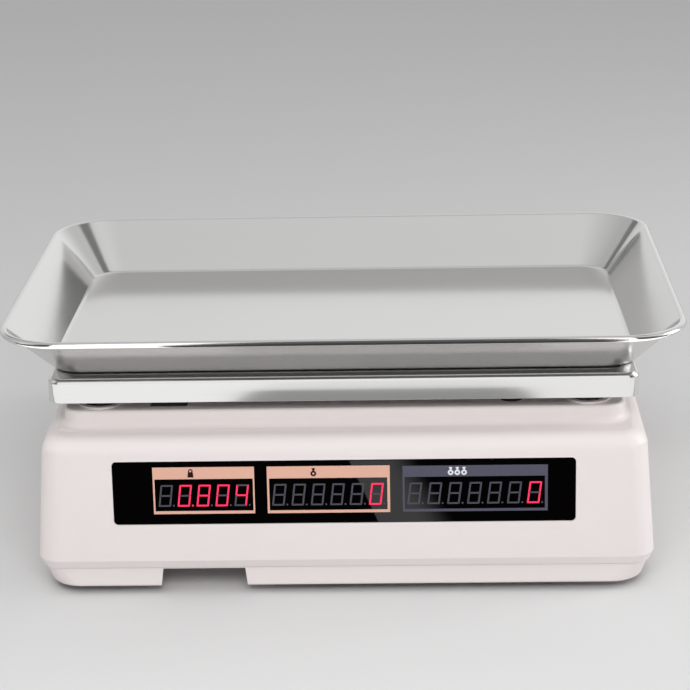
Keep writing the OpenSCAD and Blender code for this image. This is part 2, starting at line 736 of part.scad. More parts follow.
module door_rails() {
    half = battery_d/2 + door_edge + 0.3;
    drop = door_t + 0.5;
    for (y = [0, 1])
        translate([battery_x - battery_w/2 - door_edge, battery_y, battery_z]) mirror([0, y, 0])
            rotate([90, 0, 90]) linear_extrude(battery_w + 2*door_edge + 40)
                polygon([[half, 0.8], [half, -drop], [half - rail_lip, -drop],
                         [half - rail_lip, -drop - 1], [half + rail_t, -drop - 1], [half + rail_t, 0.8]]);
}

module main_board() color(BOARD) {
    translate([-42, 92, floor_z + 6]) cube([144, 56, board_t]);
    translate([-20, 108, floor_z + 6 + board_t - EPS]) cube([28, 28, 2]);
    translate([26, 112, floor_z + 6 + board_t - EPS]) cube([16, 8, 2]);
    for (x = [54, 70]) translate([x, 104, floor_z + 6 + board_t - EPS]) cylinder(12, r = 4);
    for (x = [-36, 0, 60]) translate([x, 94, floor_z + 6 + board_t - EPS]) cube([20, 6, 6]);
}

module level_vial() color([0.75, 0.85, 0.3]) translate([97, pan_y - 94.5, plateau_z]) {
    translate([0, 0, -5]) cylinder(5 + EPS, r = 6.15);
    cylinder(1, r = 7);
}

module calibration_cover() color(HOUSING) translate([-101, pan_y - 96, plateau_z - 1.2]) {
    rounded_prism(21.2, 13.6, 0.9, 0.9);
    translate([0, 0, -4]) cylinder(4 + EPS, r = 2.45);
}

module case_screws() color(STEEL) for (s = SCREWS) translate([s[0], s[1], part_z - 2.5]) {
    translate([0, 0, -1]) cylinder(13, r = screw_r);
    translate([0, 0, -2]) cylinder(2, r = screw_head_r);
}

module at_foot(i) {
    translate([(i % 2 == 0 ? -1 : 1)*foot_x, (i < 2 ? -1 : 1)*foot_y, 0]) children();
}

module foot_stud(i) color(STEEL) at_foot(i) translate([0, 0, 4]) cylinder(26, r = stud_r);

// Round pad with grips to turn it by
module foot_pad(i) color(BLACK) at_foot(i) difference() {
    rotate_extrude()
        polygon([[0, 0], [foot_r - 1.5, 0], [foot_r, 1.5], [foot_r, foot_h], [0, foot_h]]);
    translate([0, 0, 4]) cylinder(10, r = stud_r);
    for (a = [0:30:330]) rotate([0, 0, a]) translate([foot_r + 1, 0, -1]) cylinder(20, r = 2, $fn = 16);
}

upper_housing();
lower_housing();
goods_tray();
weighing_pan();
pan_cups();
pan_spider();
support_posts();
post_caps();
load_cell();
load_cell_block();
cell_base_screws();
cell_top_screws();
overload_screws();
customer_window();
customer_board();
customer_digits();
vendor_window();
vendor_board();
vendor_digits();
keypad_fascia();
key_mat();
keypad_board();
switch_body();
switch_rocker();
mains_inlet();
transformer();
battery();
battery_door();
main_board();
level_vial();
calibration_cover();
case_screws();
for (i = [0:3]) {
    foot_stud(i);
    foot_pad(i);
}
for (row = [0:KEY_ROWS - 1], col = [0:KEY_COLS - 1]) {
    key_at(row, col);
}
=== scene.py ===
# Looks of a counter scale with a lift-off goods tray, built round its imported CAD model.
import json
import math

import bmesh
import bpy
from mathutils import Matrix, Vector

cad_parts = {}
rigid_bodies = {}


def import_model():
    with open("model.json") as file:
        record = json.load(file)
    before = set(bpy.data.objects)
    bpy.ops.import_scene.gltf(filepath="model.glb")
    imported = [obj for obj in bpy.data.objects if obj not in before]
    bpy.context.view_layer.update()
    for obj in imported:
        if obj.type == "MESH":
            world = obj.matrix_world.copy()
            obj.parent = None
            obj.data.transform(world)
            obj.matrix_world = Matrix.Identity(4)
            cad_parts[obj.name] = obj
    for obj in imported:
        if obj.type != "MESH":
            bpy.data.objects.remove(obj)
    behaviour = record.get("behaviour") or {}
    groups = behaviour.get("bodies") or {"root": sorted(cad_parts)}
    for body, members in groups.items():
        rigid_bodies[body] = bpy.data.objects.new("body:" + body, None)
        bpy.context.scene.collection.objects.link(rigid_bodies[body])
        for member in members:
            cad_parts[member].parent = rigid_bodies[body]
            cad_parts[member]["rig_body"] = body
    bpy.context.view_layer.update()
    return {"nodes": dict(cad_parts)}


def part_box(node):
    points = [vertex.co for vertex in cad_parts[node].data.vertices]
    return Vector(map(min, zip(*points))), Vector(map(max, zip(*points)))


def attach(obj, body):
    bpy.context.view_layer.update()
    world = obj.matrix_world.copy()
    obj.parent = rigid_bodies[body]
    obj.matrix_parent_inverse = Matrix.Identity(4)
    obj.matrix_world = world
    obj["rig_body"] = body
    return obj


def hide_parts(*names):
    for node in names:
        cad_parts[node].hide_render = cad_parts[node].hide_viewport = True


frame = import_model()
nodes = frame["nodes"]

# Camera at the photograph's viewing angle: a long lens a good metre in front of the customer's
# side, looking a little down on the tray. Its place and turns fit the photograph.
PHOTO_SIZE = 690
focal_px = 2135
camera_place = Vector((0.03769, -1.29177, 0.52757))
yaw, pitch, roll = 0.03115, 0.32320, -0.02220


def link(obj):
    bpy.context.scene.collection.objects.link(obj)
    return obj


def axes_at(place, *axes):
    """The frame at a place with these three axes."""
    return Matrix.Translation(place) @ Matrix(axes).transposed().to_4x4()


ahead = Vector((-math.sin(yaw)*math.cos(pitch), math.cos(yaw)*math.cos(pitch), -math.sin(pitch)))
level = Vector((math.cos(yaw), math.sin(yaw), 0))
upright = level.cross(ahead)
across = math.cos(roll)*level + math.sin(roll)*upright
above = math.cos(roll)*upright - math.sin(roll)*level
camera_data = bpy.data.cameras.new("camera")
camera_data.sensor_width = 36
camera_data.lens = focal_px/PHOTO_SIZE*camera_data.sensor_width
camera = link(bpy.data.objects.new("camera", camera_data))
camera.matrix_world = axes_at(camera_place, across, above, -ahead)
bpy.context.scene.camera = camera
bpy.context.scene.view_settings.view_transform = "Standard"

# Plain pale floor under soft studio light: a large box overhead, one in front and one on each side.
# The world that glossy surfaces see is darker on the customer's side, where the studio was unlit.
floor_side = 14
floor_grey = 0.72
world_light = 0.62
glossy_steps = ((0.0, 0.13), (0.22, 0.15), (0.40, 0.82), (0.72, 0.62), (0.95, 0.91), (1.0, 0.93))
left_tint, right_tint, tint_edge = 0.84, 1.02, 0.4


def add_node(tree, kind, inputs=(), **properties):
    """A node with its properties set and its inputs fed, by name or in order, each with a value or
    with another node's output."""
    node = tree.nodes.new(kind)
    for name, value in properties.items():
        setattr(node, name, value)
    pairs = inputs.items() if isinstance(inputs, dict) else enumerate(inputs)
    for name, value in pairs:
        if isinstance(value, bpy.types.NodeSocket):
            tree.links.new(value, node.inputs[name])
        else:
            node.inputs[name].default_value = value
    return node


def add_math(tree, operation, *values):
    return add_node(tree, "ShaderNodeMath", values, operation=operation).outputs[0]


def add_range(tree, value, low, high, to_low, to_high):
    """A smooth step between two values, while another goes from low to high."""
    return add_node(tree, "ShaderNodeMapRange", (value, low, high, to_low, to_high),
                    interpolation_type="SMOOTHSTEP").outputs[0]


def new_material(name, color, roughness, metallic=0.0, **sockets):
    """A material with one Principled shader, whose constants are set on its own sockets."""
    material = bpy.data.materials.new(name)
    material.use_nodes = True
    material.diffuse_color = (*color, 1)
    shader = material.node_tree.nodes["Principled BSDF"]
    values = {"Base Color": (*color, 1), "Roughness": roughness, "Metallic": metallic, **sockets}
    for socket, value in values.items():
        shader.inputs[socket.replace("_", " ")].default_value = value
    return material


def plate(name, corners, material):
    """A flat four-cornered face, given by its corners."""
    mesh = bpy.data.meshes.new(name)
    mesh.from_pydata(corners, [], [range(len(corners))])
    mesh.materials.append(material)
    return link(bpy.data.objects.new(name, mesh))


def area_light(name, place, target, width, height, watts):
    """A rectangular lamp at a place, shining towards a target."""
    lamp = bpy.data.lights.new(name, "AREA")
    lamp.shape = "RECTANGLE"
    lamp.size, lamp.size_y = width, height
    lamp.energy = watts
    obj = link(bpy.data.objects.new(name, lamp))
    obj.location = place
    obj.rotation_mode = "QUATERNION"
    obj.rotation_quaternion = (Vector(target) - Vector(place)).to_track_quat("-Z", "Y")
    return obj


half = floor_side/2
floor = plate("floor", [(-half, -half, 0), (half, -half, 0), (half, half, 0), (-half, half, 0)],
              new_material("studio_floor", (floor_grey,)*3, 0.9, Specular_IOR_Level=0.0))

overhead = area_light("overhead_box", place=(-0.3, -0.5, 1.9), target=(0, 0, 0.1), width=1.8,
                      height=1.5, watts=9)
front = area_light("front_box", place=(0, -0.85, 0.62), target=(0, 0, 0.05), width=0.45,
                   height=0.3, watts=2.9)
overhead.visible_glossy = front.visible_glossy = False
area_light("left_box", place=(-1.7, -0.9, 1.0), target=(0, 0, 0.1), width=1.0, height=1.2, watts=1.0)
area_light("right_box", place=(1.4, 0.05, 0.5), target=(0, 0, 0.1), width=0.7, height=0.9, watts=7.5)

world = bpy.data.worlds.new("studio")
bpy.context.scene.world = world
world.use_nodes = True
tree = world.node_tree
tree.nodes.clear()
rays = add_node(tree, "ShaderNodeLightPath").outputs
direction = add_node(tree, "ShaderNodeTexCoord").outputs["Generated"]
split = add_node(tree, "ShaderNodeSeparateXYZ", (direction,)).outputs
steps = add_node(tree, "ShaderNodeValToRGB", (add_math(tree, "MULTIPLY_ADD", split["Y"], 0.5, 0.5),))
ramp = steps.color_ramp
ramp.interpolation = "EASE"
while len(ramp.elements) < len(glossy_steps):
    ramp.elements.new(0.5)
for element, (position, grey) in zip(ramp.elements, glossy_steps):
    element.position = position
    element.color = (grey, grey, grey, 1)
sideways = add_range(tree, split["X"], -tint_edge, tint_edge, left_tint, right_tint)
plain = add_node(tree, "ShaderNodeBackground", {"Strength": world_light})
mirrored = add_node(tree, "ShaderNodeBackground", (steps.outputs["Color"], sideways))
seen = add_node(tree, "ShaderNodeBackground")
by_gloss = add_node(tree, "ShaderNodeMixShader",
                    (rays["Is Glossy Ray"], plain.outputs[0], mirrored.outputs[0]))
by_camera = add_node(tree, "ShaderNodeMixShader",
                     (rays["Is Camera Ray"], by_gloss.outputs[0], seen.outputs[0]))
add_node(tree, "ShaderNodeOutputWorld", {"Surface": by_camera.outputs[0]})

# Upper and lower housing: two shells moulded in warm off-white plastic with a fine spark-eroded
# texture, screwed together from below. The moulds leave every outer edge slightly round.
housing_color = (0.868, 0.804, 0.790)
# Lighter colour of the housing's edges: partly wear, partly a painted highlight on edges that catch the
# light.
housing_wear_and_sheen_color = (0.93, 0.885, 0.87)
housing_edge = 0.0005
sharp_angle, joined_angle = math.radians(32), math.radians(0.3)
cloud_scale, smudge_scale = 22.0, 60.0
edge_starts, edge_full = 0.515, 0.60
smudge_dulls, wear_polishes = 0.06, 0.12


def add_noise(tree, vector, scale, detail, roughness=0.5):
    return add_node(tree, "ShaderNodeTexNoise", {"Vector": vector, "Scale": scale, "Detail": detail,
                                                 "Roughness": roughness}).outputs["Fac"]


def add_mix(tree, factor, first, second):
    """A colour between two others."""
    return add_node(tree, "ShaderNodeMix", {0: factor, 6: first, 7: second},
                    data_type="RGBA").outputs[2]


def add_tone(tree, color, value):
    """A colour made lighter or darker."""
    return add_node(tree, "ShaderNodeHueSaturation", {"Color": color, "Value": value}).outputs[0]


def surface_group(name, **inputs):
    """A shader group with named inputs that puts out a colour, a roughness and a normal. Gives the
    group, its inputs and the place on the piece."""
    group = bpy.data.node_groups.new(name, "ShaderNodeTree")
    for socket, value in inputs.items():
        kind = "NodeSocketColor" if isinstance(value, tuple) else "NodeSocketFloat"
        made = group.interface.new_socket(name=socket.replace("_", " "), in_out="INPUT",
                                          socket_type=kind)
        made.default_value = value
    for socket, kind in (("Color", "Color"), ("Roughness", "Float"), ("Normal", "Vector")):
        group.interface.new_socket(name=socket, in_out="OUTPUT", socket_type="NodeSocket" + kind)
    place = add_node(group, "ShaderNodeTexCoord").outputs["Object"]
    return group, group.nodes.new("NodeGroupInput").outputs, place


def end_group(group, color, roughness, height):
    """Ends a surface group in its colour, its roughness and the normal over its relief."""
    bump = add_node(group, "ShaderNodeBump", {"Distance": 1.0, "Height": height})
    add_node(group, "NodeGroupOutput", (color, roughness, bump.outputs[0]))


def use_group(material, group, **values):
    """Places a surface group in a material and feeds the shader's sockets of the same names."""
    tree = material.node_tree
    surface = add_node(tree, "ShaderNodeGroup", node_tree=group)
    for name, value in values.items():
        surface.inputs[name.replace("_", " ")].default_value = (
            (*value, 1) if isinstance(value, tuple) else value)
    shader = tree.nodes["Principled BSDF"]
    for output, socket in (("Color", "Base Color"), ("Roughness", "Roughness"), ("Normal", "Normal")):
        tree.links.new(surface.outputs[output], shader.inputs[socket])


moulded_group, given, place = surface_group(
    "moulded_surface", Color=(0.8, 0.8, 0.8, 1), Edge_Color=(0.9, 0.9, 0.9, 1), Roughness=0.5,
    Grain_Scale=1800.0, Grain_Depth=0.00001, Mottle=0.02, Wear=0.2)
bend = add_node(moulded_group, "ShaderNodeNewGeometry").outputs["Pointiness"]
cloud = add_noise(moulded_group, place, cloud_scale, 3)
smudge = add_noise(moulded_group, place, smudge_scale, 4, 0.6)
grain = add_noise(moulded_group, place, given["Grain Scale"], 2)
# Convex edges turn towards the edge colour: partly wear, partly a painted highlight on edges that catch
# the light. The same mask also lowers their roughness.
edge = add_range(moulded_group, bend, edge_starts, edge_full, 0.0, 1.0)
touched = add_range(moulded_group, smudge, 0.35, 0.65, 0.3, 1.0)
edge_wear_and_sheen = add_math(moulded_group, "MULTIPLY", edge, touched)
wear_and_sheen_mask = add_math(moulded_group, "MULTIPLY", edge_wear_and_sheen, given["Wear"])
drift = add_math(moulded_group, "MULTIPLY", add_math(moulded_group, "SUBTRACT", cloud, 0.5),
                 given["Mottle"])
tone = add_tone(moulded_group, given["Color"], add_math(moulded_group, "MULTIPLY_ADD", drift, 2.0, 1.0))
polish = add_math(moulded_group, "MULTIPLY_ADD", add_math(moulded_group, "SUBTRACT", smudge, 0.5),
                  smudge_dulls, given["Roughness"])
end_group(moulded_group, add_mix(moulded_group, wear_and_sheen_mask, tone, given["Edge Color"]),
          add_math(moulded_group, "MULTIPLY_ADD", wear_and_sheen_mask, -wear_polishes, polish),
          add_math(moulded_group, "MULTIPLY", grain, given["Grain Depth"]))


def moulded(name, color, roughness, edge_color=None, grain=1800.0, depth=0.00001, mottle=0.02,
            wear_and_sheen=0.2):
    """A moulded plastic or rubber, its edges lighter: partly wear, partly a painted highlight where edges
    catch the light.
    """
    material = new_material(name, color, roughness)
    lighter = tuple(min(1.0, c*1.25 + 0.02) for c in color)
    use_group(material, moulded_group, Color=color, Edge_Color=edge_color or lighter,
              Roughness=roughness, Grain_Scale=grain, Grain_Depth=depth, Mottle=mottle, Wear=wear_and_sheen)
    return material


def shade(obj, angle=sharp_angle):
    """Smooth shading with edges sharper than the angle kept sharp."""
    for face in obj.data.polygons:
        face.use_smooth = True
    obj.data.set_sharp_from_angle(angle=angle)


def round_edges(obj, width, segments=2):
    rounding = obj.modifiers.new("rounded_edges", "BEVEL")
    rounding.width = width
    rounding.segments = segments
    rounding.limit_method = "ANGLE"
    rounding.angle_limit = sharp_angle
    rounding.use_clamp_overlap = True


def stand_for(node):
    """Hides the CAD node that a piece stands for."""
    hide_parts(node)


def finished_copy(node, name, material, edge, segments=2):
    """A CAD node's mesh with its triangles joined into faces, its edges rounded and its curves
    shaded smooth. It stands for the node."""
    mesh = nodes[node].data.copy()
    mesh.name = name
    mesh.materials.clear()
    mesh.materials.append(material)
    work = bmesh.new()
    work.from_mesh(mesh)
    bmesh.ops.remove_doubles(work, verts=work.verts, dist=2e-6)
    bmesh.ops.dissolve_degenerate(work, dist=1e-6, edges=work.edges)
    bmesh.ops.dissolve_limit(work, angle_limit=joined_angle, verts=work.verts, edges=work.edges)
    for face in work.faces:
        face.smooth = True
        face.material_index = 0
    work.to_mesh(mesh)
    work.free()
    for flat in ("custom_normal", "sharp_face", "sharp_edge"):
        if flat in mesh.attributes:
            mesh.attributes.remove(mesh.attributes[flat])
    obj = link(bpy.data.objects.new(name, mesh))
    round_edges(obj, edge, segments)
    weighting = obj.modifiers.new("shading", "WEIGHTED_NORMAL")
    weighting.keep_sharp = False
    weighting.weight = 90
    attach(obj, nodes[node]["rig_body"])
    stand_for(node)
    return obj


housing_plastic = moulded("housing_plastic", housing_color, 0.42, housing_wear_and_sheen_color, grain=2400.0,
                          depth=0.000018, mottle=0.004, wear_and_sheen=0.12)
for node in ("upper_housing", "lower_housing"):
    finished_copy(node, node + "_shell", housing_plastic, edge=housing_edge)

# Weighing works: a milled aluminium beam, bolted through a spacer to the floor at its left end,
# carries a cast aluminium cross on its right end. Screws in the floor stop the cross on overload.
cast_color = (0.50, 0.505, 0.51)
milled_color = (0.72, 0.725, 0.73)
zinc_color = (0.60, 0.61, 0.63)
silicone_color = (0.72, 0.72, 0.68)
pan_middle = -0.034
cell_low, cell_top = 0.031, 0.053
bolt_places = (-0.0515, -0.0385)
bolt_r = 0.00295
floor_under, cross_top, stop_nut_foot = 0.016, 0.083, 0.055
stop_x, stop_y = 0.075, 0.042
gauge_x = 0.014
gauge_w, gauge_h, gauge_r = 0.018, 0.017, 0.004
gauge_dome = ((1, 0.0), (0.93, 0.0005), (0.7, 0.0009))
patch_scale, patch_dirt = 70.0, 0.35
hollow_full, hollow_ends = 0.40, 0.50

metal_group, given, place = surface_group(
    "rough_metal", Color=(0.5, 0.5, 0.5, 1), Dirt_Color=(0.1, 0.1, 0.1, 1), Roughness=0.5,
    Grain_Scale=900.0, Grain_Depth=0.000005, Dirt=0.2)
bend = add_node(metal_group, "ShaderNodeNewGeometry").outputs["Pointiness"]
grain = add_noise(metal_group, place, given["Grain Scale"], 3, 0.55)
cloud = add_noise(metal_group, place, patch_scale, 3)
hollow = add_range(metal_group, bend, hollow_full, hollow_ends, 1.0, 0.0)
patchy = add_range(metal_group, cloud, 0.5, 0.75, 0.0, patch_dirt)
soiled = add_math(metal_group, "MULTIPLY", given["Dirt"],
                  add_math(metal_group, "MAXIMUM", hollow, patchy))
smoothest = add_math(metal_group, "SUBTRACT", given["Roughness"], 0.1)
end_group(metal_group, add_mix(metal_group, soiled, given["Color"], given["Dirt Color"]),
          add_math(metal_group, "MULTIPLY_ADD", cloud, 0.2, smoothest),
          add_math(metal_group, "MULTIPLY", grain, given["Grain Depth"]))


def rough_metal(name, color, roughness, grain=900.0, depth=0.000005, dirt=0.2):
    """A cast, sawn or plated metal, dirtier in its hollows."""
    material = new_material(name, color, roughness, metallic=1.0)
    use_group(material, metal_group, Color=color, Dirt_Color=tuple(0.25*c for c in color),
              Roughness=roughness, Grain_Scale=grain, Grain_Depth=depth, Dirt=dirt)
    return material


def arc(cx, cy, radius, start, end, steps):
    """Points on an arc, from one angle to another in degrees."""
    angles = [math.radians(start + (end - start)*i/steps) for i in range(steps + 1)]
    return [(cx + radius*math.cos(a), cy + radius*math.sin(a)) for a in angles]


def hexagon(radius):
    return arc(0, 0, radius, 0, 300, 5)


def round_outline(width, height, radius, steps=6):
    """A rectangle with round corners, its middle at the origin, counter-clockwise."""
    points = []
    for x, y, start in ((1, 1, 0), (-1, 1, 90), (-1, -1, 180), (1, -1, 270)):
        points += arc(x*(width/2 - radius), y*(height/2 - radius), radius, start, start + 90, steps)
    return points


def bridge(work, rings, looped=False):
    """Closes a body over rings of vertices: end faces on the first and last ring, or looped, with
    the last ring joined to the first."""
    count = len(rings[0])
    if looped:
        rings, faces = [*rings, rings[0]], []
    else:
        faces = [work.faces.new(list(reversed(rings[0]))), work.faces.new(rings[-1])]
    for low, high in zip(rings, rings[1:]):
        for i in range(count):
            j = (i + 1) % count
            faces.append(work.faces.new((low[i], low[j], high[j], high[i])))
    return faces


def skin(work, *layers):
    """Closes a body over outlines at heights, from low to high. They have as many points each."""
    bridge(work, [[work.verts.new((x, y, z)) for x, y in outline] for outline, z in layers])


def piece(name, work, place, body, *materials, angle=sharp_angle):
    """Turns mesh work into an object in its place, riding on a body."""
    mesh = bpy.data.meshes.new(name)
    work.transform(place)
    work.to_mesh(mesh)
    work.free()
    for material in materials:
        mesh.materials.append(material)
    obj = link(bpy.data.objects.new(name, mesh))
    shade(obj, angle)
    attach(obj, body)
    return obj


def shape_tree(name, **inputs):
    """A Geometry Nodes tree with named inputs of some kinds. Gives the tree and those inputs."""
    tree = bpy.data.node_groups.new(name, "GeometryNodeTree")
    tree.interface.new_socket(name="Geometry", in_out="OUTPUT", socket_type="NodeSocketGeometry")
    for socket, kind in inputs.items():
        tree.interface.new_socket(name=socket.replace("_", " "), in_out="INPUT",
                                  socket_type="NodeSocket" + kind)
    return tree, tree.nodes.new("NodeGroupInput").outputs


def end_tree(tree, geometry, material):
    """Ends a tree in real meshes of one material."""
    real = add_node(tree, "GeometryNodeRealizeInstances", (geometry,))
    coated = add_node(tree, "GeometryNodeSetMaterial",
                      {"Geometry": real.outputs[0], "Material": material})
    add_node(tree, "NodeGroupOutput", (coated.outputs[0],))


def add_object(tree, socket):
    return add_node(tree, "GeometryNodeObjectInfo", {"Object": socket}).outputs["Geometry"]


def add_copies(tree, points, instance):
    return add_node(tree, "GeometryNodeInstanceOnPoints",
                    {"Points": points, "Instance": instance}).outputs[0]


def evaluated_mesh(obj):
    graph = bpy.context.evaluated_depsgraph_get()
    return bpy.data.meshes.new_from_object(obj.evaluated_get(graph))


def build_mesh(tree, **values):
    """The mesh that a Geometry Nodes tree makes from its named inputs."""
    holder = link(bpy.data.objects.new(tree.name, bpy.data.meshes.new(tree.name)))
    build = holder.modifiers.new(tree.name, "NODES")
    build.node_group = tree
    identifiers = {socket.name: socket.identifier for socket in tree.interface.items_tree}
    for name, value in values.items():
        build[identifiers[name.replace("_", " ")]] = value
    mesh = evaluated_mesh(holder)
    bpy.data.objects.remove(holder)
    return mesh


def unseen_object(name, work=None, points=()):
    """An unseen object that a tree reads: mesh work, or bare points."""
    mesh = bpy.data.meshes.new(name)
    if work:
        work.to_mesh(mesh)
        work.free()
    else:
        mesh.from_pydata([tuple(point) for point in points], [], [])
    return link(bpy.data.objects.new(name, mesh))


# A set of screws or studs at some places: a head or nut on a shank that runs below and above it,
# with a recess cut into the head.
screw_tree, given = shape_tree(
    "screw_set", Places="Object", Head_Radius="Float", Head_Height="Float", Head_Sides="Int",
    Shank_Radius="Float", Shank_Below="Float", Shank_Above="Float", Recess="Object",
    Material="Material")


def add_cylinder(tree, radius, low, high, sides):
    """An upright cylinder between two heights."""
    length = add_math(tree, "SUBTRACT", high, low)
    made = add_node(tree, "GeometryNodeMeshCylinder",
                    {"Vertices": sides, "Radius": radius, "Depth": length}, fill_type="NGON")
    middle = add_node(tree, "ShaderNodeCombineXYZ",
                      {"Z": add_math(tree, "MULTIPLY_ADD", length, 0.5, low)})
    return add_node(tree, "GeometryNodeTransform", {"Geometry": made.outputs["Mesh"],
                                                    "Translation": middle.outputs[0]}).outputs[0]


head = add_cylinder(screw_tree, given["Head Radius"], 0.0, given["Head Height"], given["Head Sides"])
foot = add_math(screw_tree, "MULTIPLY", given["Shank Below"], -1.0)
shank = add_cylinder(screw_tree, given["Shank Radius"], foot, given["Shank Above"], 24)
joined = add_node(screw_tree, "GeometryNodeMeshBoolean", {"Mesh 2": shank}, operation="UNION")
screw_tree.links.new(head, joined.inputs["Mesh 2"])
cut = add_node(screw_tree, "GeometryNodeMeshBoolean",
               (joined.outputs["Mesh"], add_object(screw_tree, given["Recess"])), operation="DIFFERENCE")
copies = add_copies(screw_tree, add_object(screw_tree, given["Places"]), cut.outputs["Mesh"])
end_tree(screw_tree, copies, given["Material"])


def screw_set(node, places, head_r, head_h, sides, shank_r, below, above, recess_outline=None,
              recess_depth=0.0, downwards=False, rounding=0.0003):
    """Screws for a node, at the places under their heads. The shank reaches below and above those
    places."""
    flip = -1 if downwards else 1
    points = unseen_object("places", points=[(x, y*flip, z*flip) for x, y, z in places])
    tool = bmesh.new()
    if recess_outline:
        skin(tool, (recess_outline, head_h - recess_depth), (recess_outline, head_h + 0.001))
    recess = unseen_object("recess", tool)
    mesh = build_mesh(screw_tree, Places=points, Head_Radius=head_r, Head_Height=head_h,
                      Head_Sides=sides, Shank_Radius=shank_r, Shank_Below=below, Shank_Above=above,
                      Recess=recess, Material=zinc_steel)
    for used in (points, recess):
        bpy.data.objects.remove(used)
    if downwards:
        mesh.transform(Matrix.Rotation(math.pi, 4, "X"))
    obj = link(bpy.data.objects.new(node + "_turned", mesh))
    shade(obj)
    round_edges(obj, rounding)
    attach(obj, nodes[node]["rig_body"])
    stand_for(node)


zinc_steel = rough_metal("zinc_steel", zinc_color, 0.32, depth=0.000006, dirt=0.25)
cast_aluminium = rough_metal("cast_aluminium", cast_color, 0.55, grain=420.0, depth=0.00009, dirt=0.5)
milled_aluminium = rough_metal("cell_aluminium", milled_color, 0.34, grain=260.0, depth=0.000004,
                               dirt=0.1)
silicone = moulded("silicone_potting", silicone_color, 0.35, grain=300.0, depth=0.00006, mottle=0.05,
                   wear_and_sheen=0.0)
finished_copy("pan_spider", "cast_cross", cast_aluminium, edge=0.0009, segments=3)
finished_copy("load_cell", "bending_beam", milled_aluminium, edge=0.0004)
finished_copy("load_cell_block", "beam_spacer", milled_aluminium, edge=0.0006)
potting = bmesh.new()
for x in (-gauge_x, gauge_x):
    for face, out in ((cell_low, -1), (cell_top, 1)):
        layers = [([(px + x, py) for px, py in round_outline(gauge_w*k, gauge_h*k, gauge_r*k)],
                   face + out*height) for k, height in gauge_dome]
        skin(potting, *layers[::out])
piece("gauge_potting", potting, Matrix.Translation((0, pan_middle, 0)), "housing", silicone)

screw_set("cell_base_screws", [(x, pan_middle, floor_under) for x in bolt_places], head_r=0.005,
          head_h=0.004, sides=6, shank_r=bolt_r, below=0.031, above=0.002, downwards=True)
screw_set("cell_top_screws", [(-x, pan_middle, cross_top) for x in bolt_places], head_r=0.005,
          head_h=0.005, sides=32, shank_r=bolt_r, below=0.048, above=0.001,
          recess_outline=hexagon(0.0029), recess_depth=0.003)
stops = [(x, pan_middle + y, stop_nut_foot) for x in (-stop_x, stop_x) for y in (-stop_y, stop_y)]
screw_set("overload_screws", stops, head_r=0.0055, head_h=0.004, sides=6, shank_r=0.00298,
          below=0.020, above=0.0182, recess_outline=hexagon(0.0015), rounding=0.0002)

# Circuit boards: green glass-fibre sheets with copper tracks under the varnish. The main board
# carries its processor, two capacitors and plugs; the transformer is a stack of iron sheets.
board_color, track_color = (0.018, 0.115, 0.045), (0.045, 0.20, 0.075)
track_depth = 0.00002
floor_inside, board_stand, board_t = 0.019, 0.006, 0.0016
main_board_top = floor_inside + board_stand + board_t
plug_back, plug_top = 0.1005, 0.034
capacitor_left, sleeve_h = 0.048, 0.0118
coil_y, coil_half = 0.038, 0.0101

board_group, given, place = surface_group(
    "varnished_board", Color=(0.02, 0.1, 0.05, 1), Track_Color=(0.05, 0.2, 0.1, 1), Roughness=0.3,
    Track_Scale=260.0)
cells = add_node(board_group, "ShaderNodeTexVoronoi", {"Vector": place, "Scale": given["Track Scale"]},
                 distance="CHEBYCHEV")
track = add_range(board_group, cells.outputs["Distance"], 0.42, 0.46, 0.0, 1.0)
dust = add_noise(board_group, place, 120.0, 3)
end_group(board_group, add_mix(board_group, track, given["Color"], given["Track Color"]),
          add_math(board_group, "MULTIPLY_ADD", dust, 0.15, given["Roughness"]),
          add_math(board_group, "MULTIPLY", track, track_depth))


def painted_by(obj, materials, choose):
    """Gives each face of a piece the material that its middle calls for."""
    for material in materials:
        obj.data.materials.append(material)
    for face in obj.data.polygons:
        face.material_index = choose(face.center)


board_green = new_material("circuit_board", board_color, 0.3)
use_group(board_green, board_group, Color=board_color, Track_Color=track_color, Roughness=0.25,
          Track_Scale=260.0)
chip_black = moulded("chip_case", (0.02, 0.02, 0.022), 0.5)
plug_white = moulded("plug_nylon", (0.72, 0.70, 0.62), 0.4)
sleeve_blue = moulded("capacitor_sleeve", (0.02, 0.05, 0.16), 0.3, grain=900.0, depth=0.000005,
                      wear_and_sheen=0.0)
digit_case = moulded("digit_case", (0.045, 0.045, 0.05), 0.45, grain=1500.0)
core_iron = rough_metal("core_sheets", (0.20, 0.185, 0.17), 0.55, grain=380.0, depth=0.00006, dirt=0.6)
coil_tape = moulded("coil_tape", (0.58, 0.44, 0.10), 0.35, grain=500.0, depth=0.00004, mottle=0.04,
                    wear_and_sheen=0.0)
for node in ("customer_board", "vendor_board", "keypad_board"):
    finished_copy(node, node + "_sheet", board_green, edge=0.0002, segments=1)
main_board = finished_copy("main_board", "main_board_fitted", board_green,
                           edge=0.0002, segments=1)


def on_main_board(middle):
    """0 on the board itself, 1 on chips, 2 on plugs, 3 on the capacitors' sleeves, 4 on their tops."""
    if middle.z <= main_board_top + 1e-5:
        return 0
    if middle.y < plug_back and middle.z < plug_top:
        return 2
    if middle.x > capacitor_left:
        return 4 if middle.z > main_board_top + sleeve_h else 3
    return 1


painted_by(main_board, (chip_black, plug_white, sleeve_blue, zinc_steel), on_main_board)
for node in ("customer_digits", "vendor_digits"):
    finished_copy(node, node + "_cases", digit_case, edge=0.0003, segments=1)
transformer = finished_copy("transformer", "transformer_stack", core_iron,
                            edge=0.0003, segments=1)
painted_by(transformer, (coil_tape,), lambda middle: int(abs(middle.y - coil_y) > coil_half))

